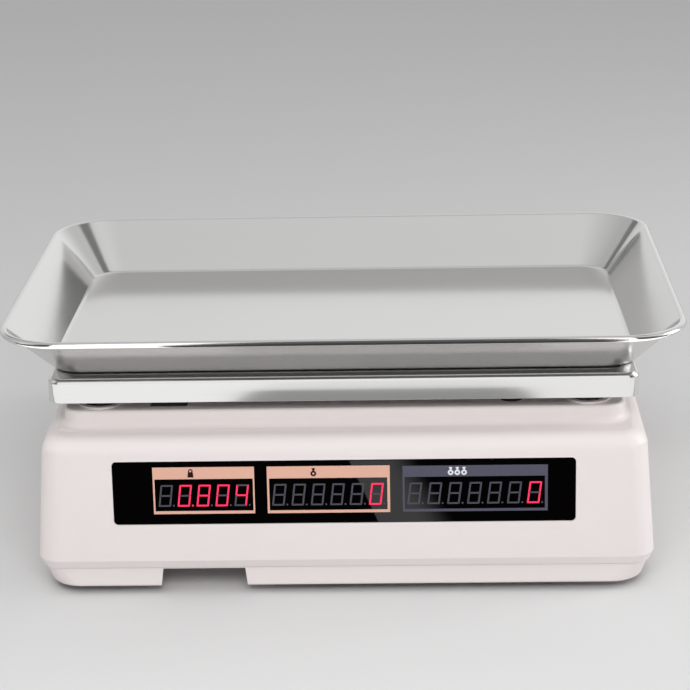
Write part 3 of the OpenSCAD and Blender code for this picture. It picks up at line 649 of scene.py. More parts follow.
# Display windows, one on each side: smoked acrylic panes glued flush into the housing. The frames
# of the three fields are printed on the back, and light-emitting digits show through between them.
pane_w, pane_h, pane_t = 0.2634, 0.0374, 0.0019
pane_r, pane_edge = 0.0025, 0.0003
print_t, raised_t, raised_step, hole_t = 0.00005, 0.00008, 0.000005, 0.0001
customer_lean, vendor_lean = math.radians(86), math.radians(58)
black = (0.0012, 0.0008, 0.0010)
salmon, dark_sepia = (0.80, 0.47, 0.365), (0.03, 0.012, 0.01)
slate, pale_blue = (0.098, 0.098, 0.135), (0.78, 0.80, 0.84)
unlit, lit, glow = (0.085, 0.083, 0.105), (0.3, 0.01, 0.03), (1.0, 0.045, 0.13)
digit_w, digit_h, bar_w, bar_gap = 0.0071, 0.0130, 0.00100, 0.00010
point_x, point_y, point_r = 0.0088, 0.0006, 0.00055
digit_foot, slant = 0.0106, 0.125
LIT_BARS = {"0": "abcdef", "8": "abcdefg", "4": "bcfg", " ": ""}
# Each field in millimetres from the pane's lower left corner: the frame's left, right, top and
# bottom edge, those of its opening, the first digit and the pitch of the digits
FIELDS = (
    dict(outer=(23.0, 81.0, 34.1, 6.15), inner=(24.0, 80.1, 27.0, 7.9), first=25.8, pitch=10.84,
         count=5, shown=" 0804", points=(1,), ink="salmon", icons=(44.7,), icon="weight"),
    dict(outer=(88.2, 158.1, 34.05, 6.1), inner=(89.4, 156.6, 26.9, 7.8), first=90.7, pitch=11.05,
         count=6, shown="     0", points=(), ink="salmon", icons=(114.7,), icon="purse"),
    dict(outer=(165.3, 247.6, 33.6, 6.2), inner=(166.4, 246.0, 27.0, 7.8), first=167.8, pitch=11.32,
         count=7, shown="      0", points=(), ink="slate", icons=(192.6, 196.4, 200.2), icon="purse"))
# Signs in the fields' headers, in millimetres round their middles: outlines, then a hole's middle
# and radius
SIGNS = {
    "weight": ([[(-1.75, -2.55), (1.75, -2.55), (1.4, 0.5), (-1.4, 0.5)], arc(0, 1.15, 1.35, 0, 345, 23)],
               (0, 1.2, 0.62)),
    "purse": ([arc(0, -0.85, 1.65, -250, 70, 20)
               + [(0.5, 1.15), (1.1, 2.1), (0, 2.5), (-1.1, 2.1), (-0.5, 1.15)]], (0, -0.85, 0.6))}


def node_frame(node, turn, rise=0.0):
    """The frame in the middle of a node, turned as its panel is, and moved out along its Z."""
    low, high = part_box(node)
    return Matrix.Translation((low + high)/2) @ turn @ Matrix.Translation((0, 0, rise))


def from_middle(left, right, top, bottom):
    """A rectangle's edges in metres from the pane's middle."""
    return left/1000 - pane_w/2, right/1000 - pane_w/2, top/1000 - pane_h/2, bottom/1000 - pane_h/2


def ring_plate(work, outer, inner, low, high):
    """A flat frame between two rectangles, each given by its left, right, top and bottom."""
    corners = [[(l, b), (r, b), (r, t), (l, t)] for l, r, t, b in (outer, inner)]
    levels = [[[work.verts.new((x, y, z)) for x, y in ring] for ring in corners] for z in (low, high)]
    (outside_low, inside_low), (outside_high, inside_high) = levels
    for i in range(4):
        j = (i + 1) % 4
        work.faces.new((outside_high[i], outside_high[j], inside_high[j], inside_high[i]))
        work.faces.new((outside_low[j], outside_low[i], inside_low[i], inside_low[j]))
        work.faces.new((outside_low[i], outside_low[j], outside_high[j], outside_high[i]))
        work.faces.new((inside_low[j], inside_low[i], inside_high[i], inside_high[j]))


def counter_clockwise(points):
    area = sum(x0*y1 - x1*y0 for (x0, y0), (x1, y1) in zip(points, points[1:] + points[:1]))
    return points if area > 0 else points[::-1]


def digit_outlines(bars, point):
    """Outlines of some of a digit's seven bars, which meet in mitres, and of its decimal point."""
    w, h, t, g = digit_w, digit_h, bar_w, bar_gap
    level = [(g, h), (w - g, h), (w - t - g, h - t), (t + g, h - t)]
    upright = [(0, h - g), (t, h - t - g), (t, h/2 + t/2 + g), (t/2, h/2 + g), (0, h/2 + g)]
    shapes = {"a": level, "f": upright, "d": [(x, h - y) for x, y in level],
              "b": [(w - x, y) for x, y in upright], "e": [(x, h - y) for x, y in upright],
              "c": [(w - x, h - y) for x, y in upright],
              "g": [(t/2 + g, h/2), (t + g, h/2 + t/2), (w - t - g, h/2 + t/2),
                    (w - t/2 - g, h/2), (w - t - g, h/2 - t/2), (t + g, h/2 - t/2)]}
    outlines = [[(x + slant*y, y) for x, y in counter_clockwise(shapes[bar])] for bar in bars]
    return outlines + ([arc(point_x, point_y, point_r, 0, 330, 11)] if point else [])


def moved(outline, dx, dy, factor=1.0):
    return [(x*factor + dx, y*factor + dy) for x, y in outline]


def flat_solid(work, outline, low, thickness):
    skin(work, (outline, low), (outline, low + thickness))


def ink(name, color, **sockets):
    """Print or a digit's bar behind the pane's face."""
    return new_material(name, color, 0.06, Specular_IOR_Level=0.22, **sockets)


digit_rows, given = shape_tree("digit_row", Glyph="Object", Count="Int", Pitch="Float", Start="Vector",
                               Material="Material")
step = add_node(digit_rows, "ShaderNodeCombineXYZ", {"X": given["Pitch"]})
row = add_node(digit_rows, "GeometryNodeMeshLine", mode="OFFSET", inputs={
    "Count": given["Count"], "Start Location": given["Start"], "Offset": step.outputs[0]})
copies = add_copies(digit_rows, row.outputs[0], add_object(digit_rows, given["Glyph"]))
end_tree(digit_rows, copies, given["Material"])

acrylic = new_material("smoked_acrylic", black, 0.02, Specular_IOR_Level=0.06)
frame_inks = {"salmon": ink("salmon_print", salmon), "slate": ink("slate_print", slate)}
sign_inks = {"salmon": ink("dark_print", dark_sepia), "slate": ink("pale_print", pale_blue)}
dark_bar = ink("unlit_bar", unlit)
lit_bar = ink("lit_bar", lit, Emission_Color=(*glow, 1), Emission_Strength=1.0)


def display(side, turn):
    """One window with its print and digits."""
    node = side + "_window"
    front = pane_t/2
    low = front - print_t/2
    panel = node_frame(node, turn)
    work = bmesh.new()
    flat = round_outline(pane_w - 2*pane_edge, pane_h - 2*pane_edge, pane_r - pane_edge, 8)
    full = round_outline(pane_w, pane_h, pane_r, 8)
    skin(work, (flat, -front), (full, pane_edge - front), (full, front - pane_edge), (flat, front))
    pane = piece(node + "_pane", work, panel, "housing", acrylic)
    stand_for(node)
    work = bmesh.new()
    for outline in digit_outlines("abcdefg", True):
        flat_solid(work, outline, 0, print_t)
    glyph = unseen_object("digit_glyph", work)
    lit_work, rows = bmesh.new(), bmesh.new()
    frames = {name: bmesh.new() for name in frame_inks}
    signs = {name: bmesh.new() for name in sign_inks}
    for field in FIELDS:
        frame_work, sign_work = frames[field["ink"]], signs[field["ink"]]
        outer, inner = from_middle(*field["outer"]), from_middle(*field["inner"])
        ring_plate(frame_work, outer, inner, low, low + print_t)
        outlines, (hole_x, hole_y, hole_r) = SIGNS[field["icon"]]
        for x in field["icons"]:
            at = x/1000 - pane_w/2, (outer[2] + inner[2])/2
            for i, outline in enumerate(outlines):
                flat_solid(sign_work, moved(outline, *at, 0.001), low,
                           raised_t + i*raised_step)
            hole = moved(arc(hole_x, hole_y, hole_r, 0, 340, 17), *at, 0.001)
            flat_solid(frame_work, hole, low, hole_t)
        start = Vector((field["first"]/1000 - pane_w/2, digit_foot - pane_h/2, low))
        pitch = field["pitch"]/1000
        rows.from_mesh(build_mesh(digit_rows, Glyph=glyph, Count=field["count"], Pitch=pitch,
                                  Start=start, Material=dark_bar))
        for i, character in enumerate(field["shown"]):
            for outline in digit_outlines(LIT_BARS[character], i in field["points"]):
                flat_solid(lit_work, moved(outline, start.x + i*pitch, start.y), low, raised_t)
    bpy.data.objects.remove(glyph)
    pieces = [("unlit_bars", rows, dark_bar), ("lit_bars", lit_work, lit_bar)]
    pieces += [(name + "_frames", frames[name], frame_inks[name]) for name in frames]
    pieces += [(name + "_signs", signs[name], sign_inks[name]) for name in signs]
    for name, work, material in pieces:
        piece(node + "_" + name, work, panel, "housing", material)
    return pane


customer_pane = display("customer", Matrix.Rotation(customer_lean, 4, "X"))
display("vendor", Matrix.Rotation(math.pi, 4, "Z") @ Matrix.Rotation(vendor_lean, 4, "X"))

# Keypad on the vendor's side: twenty moulded caps stand through a flush panel and press a rubber
# mat. Number keys are pale grey, working keys blue and red, their signs printed on a hollow top.
keypad_lean = math.radians(15.5)
key_w, key_h = 0.026, 0.0096
key_rise, key_foot, flange_t = 0.0024, -0.0026, 0.001
stem_r, stem_foot, stem_edge = 0.0025, -0.005, 0.0002
pitch_x, pitch_y, group_shift = 0.031, 0.0116, 0.004
sign_t, figure_size, word_size, hollow = 0.00004, 0.0056, 0.0046, 0.00021
fascia_t = 0.0015
panel_color, mat_color = (0.085, 0.098, 0.13), (0.55, 0.55, 0.52)
KEY_COLORS = {"key_light": (0.66, 0.655, 0.64), "key_blue": (0.075, 0.16, 0.34),
              "key_red": (0.52, 0.085, 0.07)}
KEYS = ((("key_7", "7"), ("key_8", "8"), ("key_9", "9"), ("key_memory_1", "M1"), ("key_zero", ">0<")),
        (("key_4", "4"), ("key_5", "5"), ("key_6", "6"), ("key_memory_2", "M2"), ("key_tare", "T")),
        (("key_1", "1"), ("key_2", "2"), ("key_3", "3"), ("key_memory_3", "M3"), ("key_add", "+")),
        (("key_0", "0"), ("key_point", "."), ("key_clear", "C"), ("key_memory_4", "M4"),
         ("key_total", "=")))
# A cap from its flange up and in over its hollow top: how much wider and higher than the key it
# is, its corners' radius and its height
KEY_LAYERS = ((0.0016, 0.0014, 0.0010, key_foot),
              (0.0016, 0.0014, 0.0010, key_foot + flange_t),
              (0, 0, 0.0012, key_foot + flange_t),
              (-0.0002, -0.0002, 0.0011, key_rise - 0.0011),
              (-0.0007, -0.0007, 0.0010, key_rise - 0.00035),
              (-0.0013, -0.0013, 0.0009, key_rise - 0.00005),
              (-0.0019, -0.0018, 0.0008, key_rise),
              (-0.0026, -0.0024, 0.0007, key_rise - 0.00004),
              (-0.0052, -0.0042, 0.0006, key_rise - 0.00022),
              (-0.0090, -0.0062, 0.0005, key_rise - 0.00030))


def lathe(work, profile, steps=48, closed=False):
    """A turned body about the upright axis. Its profile of radii and heights goes up the outside,
    from axis to axis, or all the way round a ring's section."""
    rings = []
    for radius, height in profile:
        spots = 1 if radius < 1e-7 else steps
        turns = [2*math.pi*k/steps for k in range(spots)]
        rings.append([work.verts.new((radius*math.cos(a), radius*math.sin(a), height)) for a in turns])
    pairs = list(zip(rings, rings[1:])) + ([(rings[-1], rings[0])] if closed else [])
    for low, high in pairs:
        for i in range(steps):
            j = (i + 1) % steps
            if len(low) == 1:
                work.faces.new((low[0], high[j], high[i]))
            elif len(high) == 1:
                work.faces.new((low[i], low[j], high[0]))
            else:
                work.faces.new((low[i], low[j], high[j], high[i]))
    return work


def lettering(text, size, thickness):
    """A word or figure as a flat solid, its middle at the origin."""
    curve = bpy.data.curves.new("sign", "FONT")
    curve.body = text
    curve.size = size
    curve.extrude = thickness/2
    curve.align_x, curve.align_y = "CENTER", "CENTER"
    curve.resolution_u = 3
    holder = link(bpy.data.objects.new("sign", curve))
    mesh = evaluated_mesh(holder)
    bpy.data.objects.remove(holder)
    low = [min(v.co[i] for v in mesh.vertices) for i in range(2)]
    high = [max(v.co[i] for v in mesh.vertices) for i in range(2)]
    mesh.transform(Matrix.Translation((-(low[0] + high[0])/2, -(low[1] + high[1])/2, 0)))
    return mesh


keypad_turn = Matrix.Rotation(math.pi, 4, "Z") @ Matrix.Rotation(keypad_lean, 4, "X")
keypad_at = node_frame("keypad_fascia", keypad_turn, fascia_t/2)
key_plastics = {slot: moulded(slot, color, 0.38, grain=2600.0, depth=0.000012, mottle=0.015, wear_and_sheen=0.6)
                for slot, color in KEY_COLORS.items()}
dark_sign = new_material("dark_sign", (0.02, 0.022, 0.03), 0.45)
pale_sign = new_material("pale_sign", (0.85, 0.85, 0.83), 0.45)
panel_plastic = moulded("fascia_plastic", panel_color, 0.42, grain=3000.0, wear_and_sheen=0.4)
mat_rubber = moulded("mat_rubber", mat_color, 0.6, grain=1600.0, mottle=0.03, wear_and_sheen=0.0)
for row, keys in enumerate(KEYS):
    for column, (node, sign) in enumerate(keys):
        slot = ("key_light", "key_blue", "key_red")[max(0, column - 2)]
        shift = group_shift if column > 2 else -group_shift
        at = keypad_at @ Matrix.Translation(((column - 2)*pitch_x + shift, (1.5 - row)*pitch_y, 0))
        work = bmesh.new()
        skin(work, *((round_outline(key_w + wider, key_h + higher, radius, 5), height)
                     for wider, higher, radius, height in KEY_LAYERS))
        lathe(work, ((0, stem_foot), (stem_r - stem_edge, stem_foot), (stem_r, stem_foot + stem_edge),
                     (stem_r, key_foot + stem_edge), (0, key_foot + stem_edge)), 24)
        cap = piece(node + "_cap", work, at, node, key_plastics[slot])
        stand_for(node)
        work = bmesh.new()
        work.from_mesh(lettering(sign, figure_size if len(sign) == 1 else word_size, sign_t))
        piece(node + "_sign", work, at @ Matrix.Translation((0, 0, key_rise - hollow)), node,
              dark_sign if column < 3 else pale_sign)
finished_copy("keypad_fascia", "keypad_panel", panel_plastic, edge=0.0002)
finished_copy("key_mat", "key_mat_sheet", mat_rubber, edge=0.0002, segments=1)

# Power switch and mains inlet on the right wall: black nylon snap-in bodies with a flange, a red
# rocker on a pin, and a two-pin figure-eight socket with brass pins.
wall_lean = math.radians(86)
wall_turn = Matrix.Rotation(math.pi/2, 4, "Z") @ Matrix.Rotation(wall_lean, 4, "X")
wall_x, wall_z, switch_y, inlet_y = 0.177161, 0.034, 0.126, 0.088
rocker_depth, rocker_tilt, rocker_slope = -0.002, math.radians(10), math.radians(10.62)
mark_place, mark_height, mark_t = 0.0052, 0.0046, 0.00006
bar_outline = round_outline(0.0007, 0.0042, 0.0003)
circle_outer, circle_inner = 0.0021, 0.0014
pin_places, pin_r, pin_depth = (-0.0043, 0.0043), 0.0013, -0.0099
black_nylon = moulded("black_nylon", (0.022, 0.022, 0.024), 0.42, grain=2000.0, depth=0.000014,
                      mottle=0.03, wear_and_sheen=0.5)
rocker_red = moulded("rocker_plastic", (0.42, 0.018, 0.014), 0.25, grain=2400.0, depth=0.000005,
                     mottle=0.01, wear_and_sheen=0.4)
brass = rough_metal("pin_brass", (0.75, 0.56, 0.25), 0.28, depth=0.000004)
finished_copy("switch_body", "switch_case", black_nylon, edge=0.0003)
finished_copy("switch_rocker", "switch_rocker_cap", rocker_red, edge=0.0004, segments=3)
inlet = finished_copy("mains_inlet", "mains_inlet_case", black_nylon, edge=0.0003)
inlet_at = Matrix.Translation((wall_x, inlet_y, wall_z)) @ wall_turn


def on_inlet(middle):
    """1 on the two pins, 0 on the body round them."""
    local = inlet_at.inverted() @ middle
    near = any(math.hypot(local.x - x, local.y) < pin_r for x in pin_places)
    return int(near and local.z > pin_depth)


painted_by(inlet, (brass,), on_inlet)
rocker_at = (Matrix.Translation((wall_x, switch_y, wall_z)) @ wall_turn
             @ Matrix.Translation((0, 0, rocker_depth)) @ Matrix.Rotation(rocker_tilt, 4, "Y"))
bar, circle = bmesh.new(), bmesh.new()
flat_solid(bar, bar_outline, 0, mark_t)
lathe(circle, ((circle_inner, 0), (circle_outer, 0), (circle_outer, mark_t), (circle_inner, mark_t)),
      32, closed=True)
for name, mark, end in (("switch_off_mark", circle, 1), ("switch_on_mark", bar, -1)):
    mark_at = (Matrix.Translation((end*mark_place, 0, mark_height))
               @ Matrix.Rotation(-end*rocker_slope, 4, "Y"))
    piece(name, mark, rocker_at @ mark_at, "rocker", pale_sign)

# Battery and its door: a sealed lead battery stands in a bay of the base, over a door that slides
# in two rails under the floor.
battery_end = -0.0615
battery_case = moulded("battery_case", (0.035, 0.038, 0.045), 0.45, grain=900.0, depth=0.00003,
                       mottle=0.03, wear_and_sheen=0.4)
battery = finished_copy("battery", "battery_block", battery_case, edge=0.0009)
painted_by(battery, (brass,), lambda middle: int(middle.x > battery_end + 1e-4))
finished_copy("battery_door", "battery_door_plate", housing_plastic, edge=0.0003)

# Levelling feet and case screws: each foot is a moulded pad with finger grips on a threaded zinc
# stud, and six self-tapping screws join the housings from below.
foot_places = {"front_left": (-0.132, -0.128), "front_right": (0.132, -0.128),
               "back_left": (-0.132, 0.128), "back_right": (0.132, 0.128)}
stud_r, stud_foot, stud_top, thread_pitch, thread_depth = 0.004, 0.004, 0.030, 0.001, 0.0004
case_screw_places = ((-0.158, -0.150), (0.158, -0.150), (-0.162, -0.010), (0.162, -0.010),
                     (-0.158, 0.152), (0.158, 0.152))
case_screw_foot = 0.0145
arm, slit = 0.0017, 0.00045
foot_rubber = moulded("foot_plastic", (0.03, 0.03, 0.032), 0.55, grain=1200.0, depth=0.00003,
                      mottle=0.04, wear_and_sheen=0.5)
core_r = stud_r - thread_depth
thread = [(0, stud_foot), (core_r, stud_foot)]
for turn in range(round((stud_top - stud_foot)/thread_pitch) - 1):
    crest = stud_foot + (turn + 0.5)*thread_pitch
    thread += [(stud_r, crest), (core_r, crest + thread_pitch/2)]
thread += [(core_r, stud_top), (0, stud_top)]
for foot, (x, y) in foot_places.items():
    node = "foot_pad_" + foot
    finished_copy(node, node + "_moulded", foot_rubber, edge=0.0005)
    node = "foot_stud_" + foot
    stud = piece(node + "_threaded", lathe(bmesh.new(), thread, 32), Matrix.Translation((x, y, 0)),
                 nodes[node]["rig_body"], zinc_steel)
    stand_for(node)
cross = [(arm, -slit), (arm, slit), (slit, slit), (slit, arm), (-slit, arm), (-slit, slit), (-arm, slit),
         (-arm, -slit), (-slit, -slit), (-slit, -arm), (slit, -arm), (slit, -slit)]
screw_set("case_screws", [(x, y, case_screw_foot) for x, y in case_screw_places], head_r=0.003,
          head_h=0.002, sides=32, shank_r=0.0015, below=0.012, above=0.001, recess_outline=cross,
          recess_depth=0.0012, downwards=True, rounding=0.0004)

# Pan supports: a steel stud with a hexagon on each corner of the cross, a soft rubber cap on it,
# and a short cup under the pan that keeps the pan from sliding.
corner_x, corner_y, post_foot, post_top = 0.141, 0.094, 0.092, 0.118
cap_r, bore_r, cap_low, cap_top, cap_foot_round, cap_top_round = (
    0.007, 0.005, 0.112, 0.1245, 0.0005, 0.001)
cup_low, cup_inner, cup_outer, cup_round = 0.1185, 0.0076, 0.009, 0.0003

corner_tree, given = shape_tree("four_corners", Piece="Object", Spacing_X="Float", Spacing_Y="Float",
                                Centre="Vector", Material="Material")
corners = add_node(corner_tree, "GeometryNodeMeshGrid", {
    "Size X": given["Spacing X"], "Size Y": given["Spacing Y"], "Vertices X": 2, "Vertices Y": 2})
centred = add_node(corner_tree, "GeometryNodeTransform",
                   {"Geometry": corners.outputs["Mesh"], "Translation": given["Centre"]})
copies = add_copies(corner_tree, centred.outputs[0], add_object(corner_tree, given["Piece"]))
end_tree(corner_tree, copies, given["Material"])


def at_corners(node, work, material):
    """A turned piece at each corner of the pan, standing for a node."""
    turned = unseen_object(node + "_one", work)
    mesh = build_mesh(corner_tree, Piece=turned, Spacing_X=2*corner_x, Spacing_Y=2*corner_y,
                      Centre=Vector((0, pan_middle, 0)), Material=material)
    bpy.data.objects.remove(turned)
    obj = link(bpy.data.objects.new(node + "_turned", mesh))
    shade(obj)
    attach(obj, nodes[node]["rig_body"])
    stand_for(node)


soft_rubber = moulded("black_rubber", (0.025, 0.025, 0.026), 0.65, grain=900.0, depth=0.00003,
                      mottle=0.05, wear_and_sheen=0.3)
cup_steel = rough_metal("cup_steel", (0.62, 0.62, 0.63), 0.32)
posts = [(x, pan_middle + y, post_foot) for x in (-corner_x, corner_x) for y in (-corner_y, corner_y)]
screw_set("support_posts", posts, head_r=0.008, head_h=0.004, sides=6, shank_r=bore_r, below=0.012,
          above=post_top - post_foot, rounding=0.0004)
cap = ([(0, post_top), (bore_r, post_top), (bore_r, cap_low)]
       + arc(cap_r - cap_foot_round, cap_low + cap_foot_round, cap_foot_round, -90, 0, 3)
       + arc(cap_r - cap_top_round, cap_top - cap_top_round, cap_top_round, 0, 90, 5) + [(0, cap_top)])
at_corners("post_caps", lathe(bmesh.new(), cap), soft_rubber)
cup = (arc(cup_outer - cup_round, cup_low + cup_round, cup_round, -90, 0, 3)
       + [(cup_outer, cap_top), (cup_inner, cap_top)]
       + arc(cup_inner + cup_round, cup_low + cup_round, cup_round, 180, 270, 3))
at_corners("pan_cups", lathe(bmesh.new(), cup, closed=True), cup_steel)

# Level vial and calibration cover on the raised block: a round vial in a black ring, its bubble
# under a flat glass, and a small plug over the calibration opening.
vial_low, vial_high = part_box("level_vial")
vial_h, vial_r, vial_edge = vial_high.z - vial_low.z, 0.00615, 0.0004
ring_r, ring_h, ring_round = 0.007, 0.001, 0.0003
glass_r, glass_t, glass_edge, glass_fall = 0.0052, 0.0004, 0.0002, 0.00012
crown_r, crown_fall = 0.003, 0.00004
sight_inner, sight_outer, sight_foot, sight_top = 0.0021, 0.00235, -0.0001, 0.00001
bubble_x, bubble_y, bubble_r, bubble_crown_r = 0.0003, -0.0002, 0.0016, 0.0013
bubble_foot, bubble_rise, bubble_top = -0.0001, 0.00002, 0.00003
vial_at = Matrix.Translation(((vial_low.x + vial_high.x)/2, (vial_low.y + vial_high.y)/2, vial_high.z))
vial_fluid = new_material("vial_fluid", (0.50, 0.62, 0.05), 0.06, Coat_Weight=1.0)
bubble_clear = new_material("vial_bubble", (0.80, 0.85, 0.45), 0.05, Coat_Weight=1.0)
# The plug's dark grey is painted shade: it stands in for the shade that falls in the recess under the
# pan.
cover_shade_grey = moulded("cover_plastic", (0.10, 0.10, 0.105), 0.5, depth=0.00002, mottle=0.03, wear_and_sheen=0.4)
case = ([(0, -vial_h), (vial_r - vial_edge, -vial_h), (vial_r, vial_edge - vial_h), (vial_r, -ring_h),
         (ring_r, -ring_h)] + arc(ring_r - ring_round, -ring_round, ring_round, 0, 90, 3)
        + [(glass_r, 0), (glass_r, -glass_t), (0, -glass_t)])
glass = ((0, -glass_t), (glass_r, -glass_t), (glass_r - glass_edge, -glass_fall),
         (crown_r, -crown_fall), (0, 0))
circle = ((sight_inner, sight_foot), (sight_outer, sight_foot), (sight_outer, sight_top),
          (sight_inner, sight_top))
bubble = ((0, bubble_foot), (bubble_r, bubble_foot), (bubble_crown_r, bubble_rise), (0, bubble_top))
ring = piece("level_vial_case", lathe(bmesh.new(), case), vial_at, "housing", black_nylon)
stand_for("level_vial")
piece("level_vial_glass", lathe(bmesh.new(), glass), vial_at, "housing", vial_fluid)
piece("level_vial_circle", lathe(bmesh.new(), circle, 32, closed=True), vial_at, "housing", black_nylon)
piece("level_vial_bubble", lathe(bmesh.new(), bubble, 32),
      vial_at @ Matrix.Translation((bubble_x, bubble_y, 0)), "housing", bubble_clear)
finished_copy("calibration_cover", "calibration_plug", cover_shade_grey, edge=0.0002)

# Weighing pan: stainless sheet a millimetre thick with a fine drawn grain, pressed and folded
# straight down on all four sides. It lies loose on the rubber caps.
sheet_t = 0.001
steel_color = (0.745, 0.74, 0.735)
sheet_angle = math.radians(40)
pan_low, pan_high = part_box("weighing_pan")
pan_fold, pan_corner, cut_edge = 0.003, 0.008, 0.0003

brushed_group, given, place = surface_group(
    "brushed_sheet", Color=(0.7, 0.7, 0.7, 1), Roughness=0.3, Along=14.0, Across=900.0,
    Line_Depth=0.000004, Streak=0.03)
scales = add_node(brushed_group, "ShaderNodeCombineXYZ",
                  (given["Along"], given["Across"], given["Across"]))
stretched = add_node(brushed_group, "ShaderNodeVectorMath", (place, scales.outputs[0]),
                     operation="MULTIPLY")
lines = add_noise(brushed_group, stretched.outputs[0], 1.0, 4, 0.6)
cloud = add_noise(brushed_group, place, 9.0, 3)
streak = add_math(brushed_group, "MULTIPLY", add_math(brushed_group, "SUBTRACT", lines, 0.5),
                  given["Streak"])
cloudy = add_math(brushed_group, "MULTIPLY_ADD", add_math(brushed_group, "SUBTRACT", cloud, 0.5),
                  0.08, given["Roughness"])
end_group(brushed_group,
          add_tone(brushed_group, given["Color"], add_math(brushed_group, "ADD", streak, 1.0)),
          add_math(brushed_group, "MULTIPLY_ADD", streak, 1.4, cloudy),
          add_math(brushed_group, "MULTIPLY", lines, given["Line Depth"]))


def brushed(name, roughness, depth=0.000004, streak=0.03):
    """Stainless steel with a drawn grain along X."""
    material = new_material(name, steel_color, roughness, metallic=1.0)
    use_group(material, brushed_group, Color=steel_color, Roughness=roughness, Line_Depth=depth,
              Streak=streak)
    return material


# The press carries a profile round a rectangle with round corners. The pan's profile runs from the
# top out, down the skirt, round its cut edge and back up inside.
press, given = shape_tree("pressed_sheet", Width="Float", Depth="Float", Corner_Radius="Float",
                          Corner_Steps="Int", Profile="Object", Material="Material")
outline = add_node(press, "GeometryNodeCurvePrimitiveQuadrilateral",
                   {"Width": given["Width"], "Height": given["Depth"]}, mode="RECTANGLE")
fillet = add_node(press, "GeometryNodeFilletCurve", mode="POLY", inputs={
    "Curve": outline.outputs[0], "Radius": given["Corner Radius"], "Count": given["Corner Steps"]})
levelled = add_node(press, "GeometryNodeSetCurveNormal", {"Curve": fillet.outputs[0]}, mode="Z_UP")
swept = add_node(press, "GeometryNodeCurveToMesh",
                 (levelled.outputs[0], add_object(press, given["Profile"])))
end_tree(press, swept.outputs[0], given["Material"])

pan_steel = brushed("pan_steel", 0.15)
skirt = pan_high.z - pan_low.z
pan_profile = (arc(-pan_fold, -pan_fold, pan_fold, 90, 0, 8) + [(0, -skirt/2)]
               + arc(-cut_edge, cut_edge - skirt, cut_edge, 0, -90, 3)
               + arc(cut_edge - sheet_t, cut_edge - skirt, cut_edge, -90, -180, 3)
               + arc(-pan_fold, -pan_fold, pan_fold - sheet_t, 0, 90, 8))
curve = bpy.data.curves.new("pan_profile", "CURVE")
curve.dimensions = "3D"
spline = curve.splines.new("POLY")
spline.points.add(len(pan_profile) - 1)
for point, (x, z) in zip(spline.points, pan_profile):
    point.co = (x, -z, 0, 1)
guide = link(bpy.data.objects.new("pan_profile", curve))
mesh = build_mesh(press, Width=pan_high.x - pan_low.x, Depth=pan_high.y - pan_low.y,
                  Corner_Radius=pan_corner, Corner_Steps=20, Profile=guide, Material=pan_steel)
bpy.data.objects.remove(guide)
work = bmesh.new()
work.from_mesh(mesh)
bmesh.ops.remove_doubles(work, verts=work.verts, dist=1e-6)
bmesh.ops.holes_fill(work, edges=[edge for edge in work.edges if edge.is_boundary], sides=0)
bmesh.ops.recalc_face_normals(work, faces=work.faces)
pan_place = Matrix.Translation(((pan_low.x + pan_high.x)/2, (pan_low.y + pan_high.y)/2, pan_high.z))
pan_sheet = piece("weighing_pan_sheet", work, pan_place, "pan", pan_steel, angle=sheet_angle)
stand_for("weighing_pan")

# Goods tray: one stainless sheet pressed to flared walls. Each side and each end has a section of
# its own, and the corners join them, tighter at the floor than at the rim. The edge is rolled to a
# bead, a piece of its own here because it is more polished than the sheet.
tray_low, tray_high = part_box("goods_tray")
tray_size = tray_high - tray_low
side_lean, end_lean, floor_run = 0.0275, 0.033, 0.0015
tray_bend, bead_r, bead_turn = 0.005, 0.002, 206
rim_corner, floor_corner, corner_steps = 0.036, 0.018, 24
bead_start, bead_end = 14, 36


def tray_section(lean_width):
    """Points from the floor's inside up the wall, round the bead and down the outside."""
    bead = Vector((-bead_r, tray_size.z - bead_r))
    bend = Vector((-lean_width - floor_run, tray_bend))
    inner_r = tray_bend - sheet_t
    reach = bead - bend
    slope = math.atan2(reach.y, reach.x) + math.asin((inner_r + bead_r)/reach.length)
    up_wall = Vector((math.cos(slope), math.sin(slope)))
    outward = Vector((math.sin(slope), -math.cos(slope)))
    turn = math.degrees(slope)
    foot, crown = bend + inner_r*outward, bead - bead_r*outward
    seam = (bead - (bead_r - sheet_t)*outward
            - math.sqrt(bead_r**2 - (bead_r - sheet_t)**2)*up_wall)
    outer_foot = bend + tray_bend*outward
    return (arc(bend.x, bend.y, inner_r, -90, turn - 90, 10)
            + [tuple(foot.lerp(crown, t)) for t in (0.25, 0.5, 0.75)]
            + arc(bead.x, bead.y, bead_r, turn + 90, turn - bead_turn, 22)
            + [tuple(seam.lerp(outer_foot, t)) for t in (0.06, 0.35, 0.65)]
            + arc(bend.x, bend.y, tray_bend, turn - 90, -90, 10))


def tray_ring(work, side, end):
    """A ring of vertices round the tray, through a point of the side's and of the end's section."""
    inset = min(1, -end[0]/(end_lean + floor_run))
    radius = rim_corner - (rim_corner - floor_corner)*inset
    half_width, half_depth = tray_size.x/2 + side[0] - radius, tray_size.y/2 + end[0] - radius
    ring = []
    for x, y, start in ((1, 1, 0), (-1, 1, 90), (-1, -1, 180), (1, -1, 270)):
        corner = arc(x*half_width, y*half_depth, radius, start, start + 90, corner_steps)
        for i, (px, py) in enumerate(corner):
            blend = i/corner_steps if x*y > 0 else 1 - i/corner_steps
            ring.append(work.verts.new((px, py, side[1] + (end[1] - side[1])*blend)))
    return ring


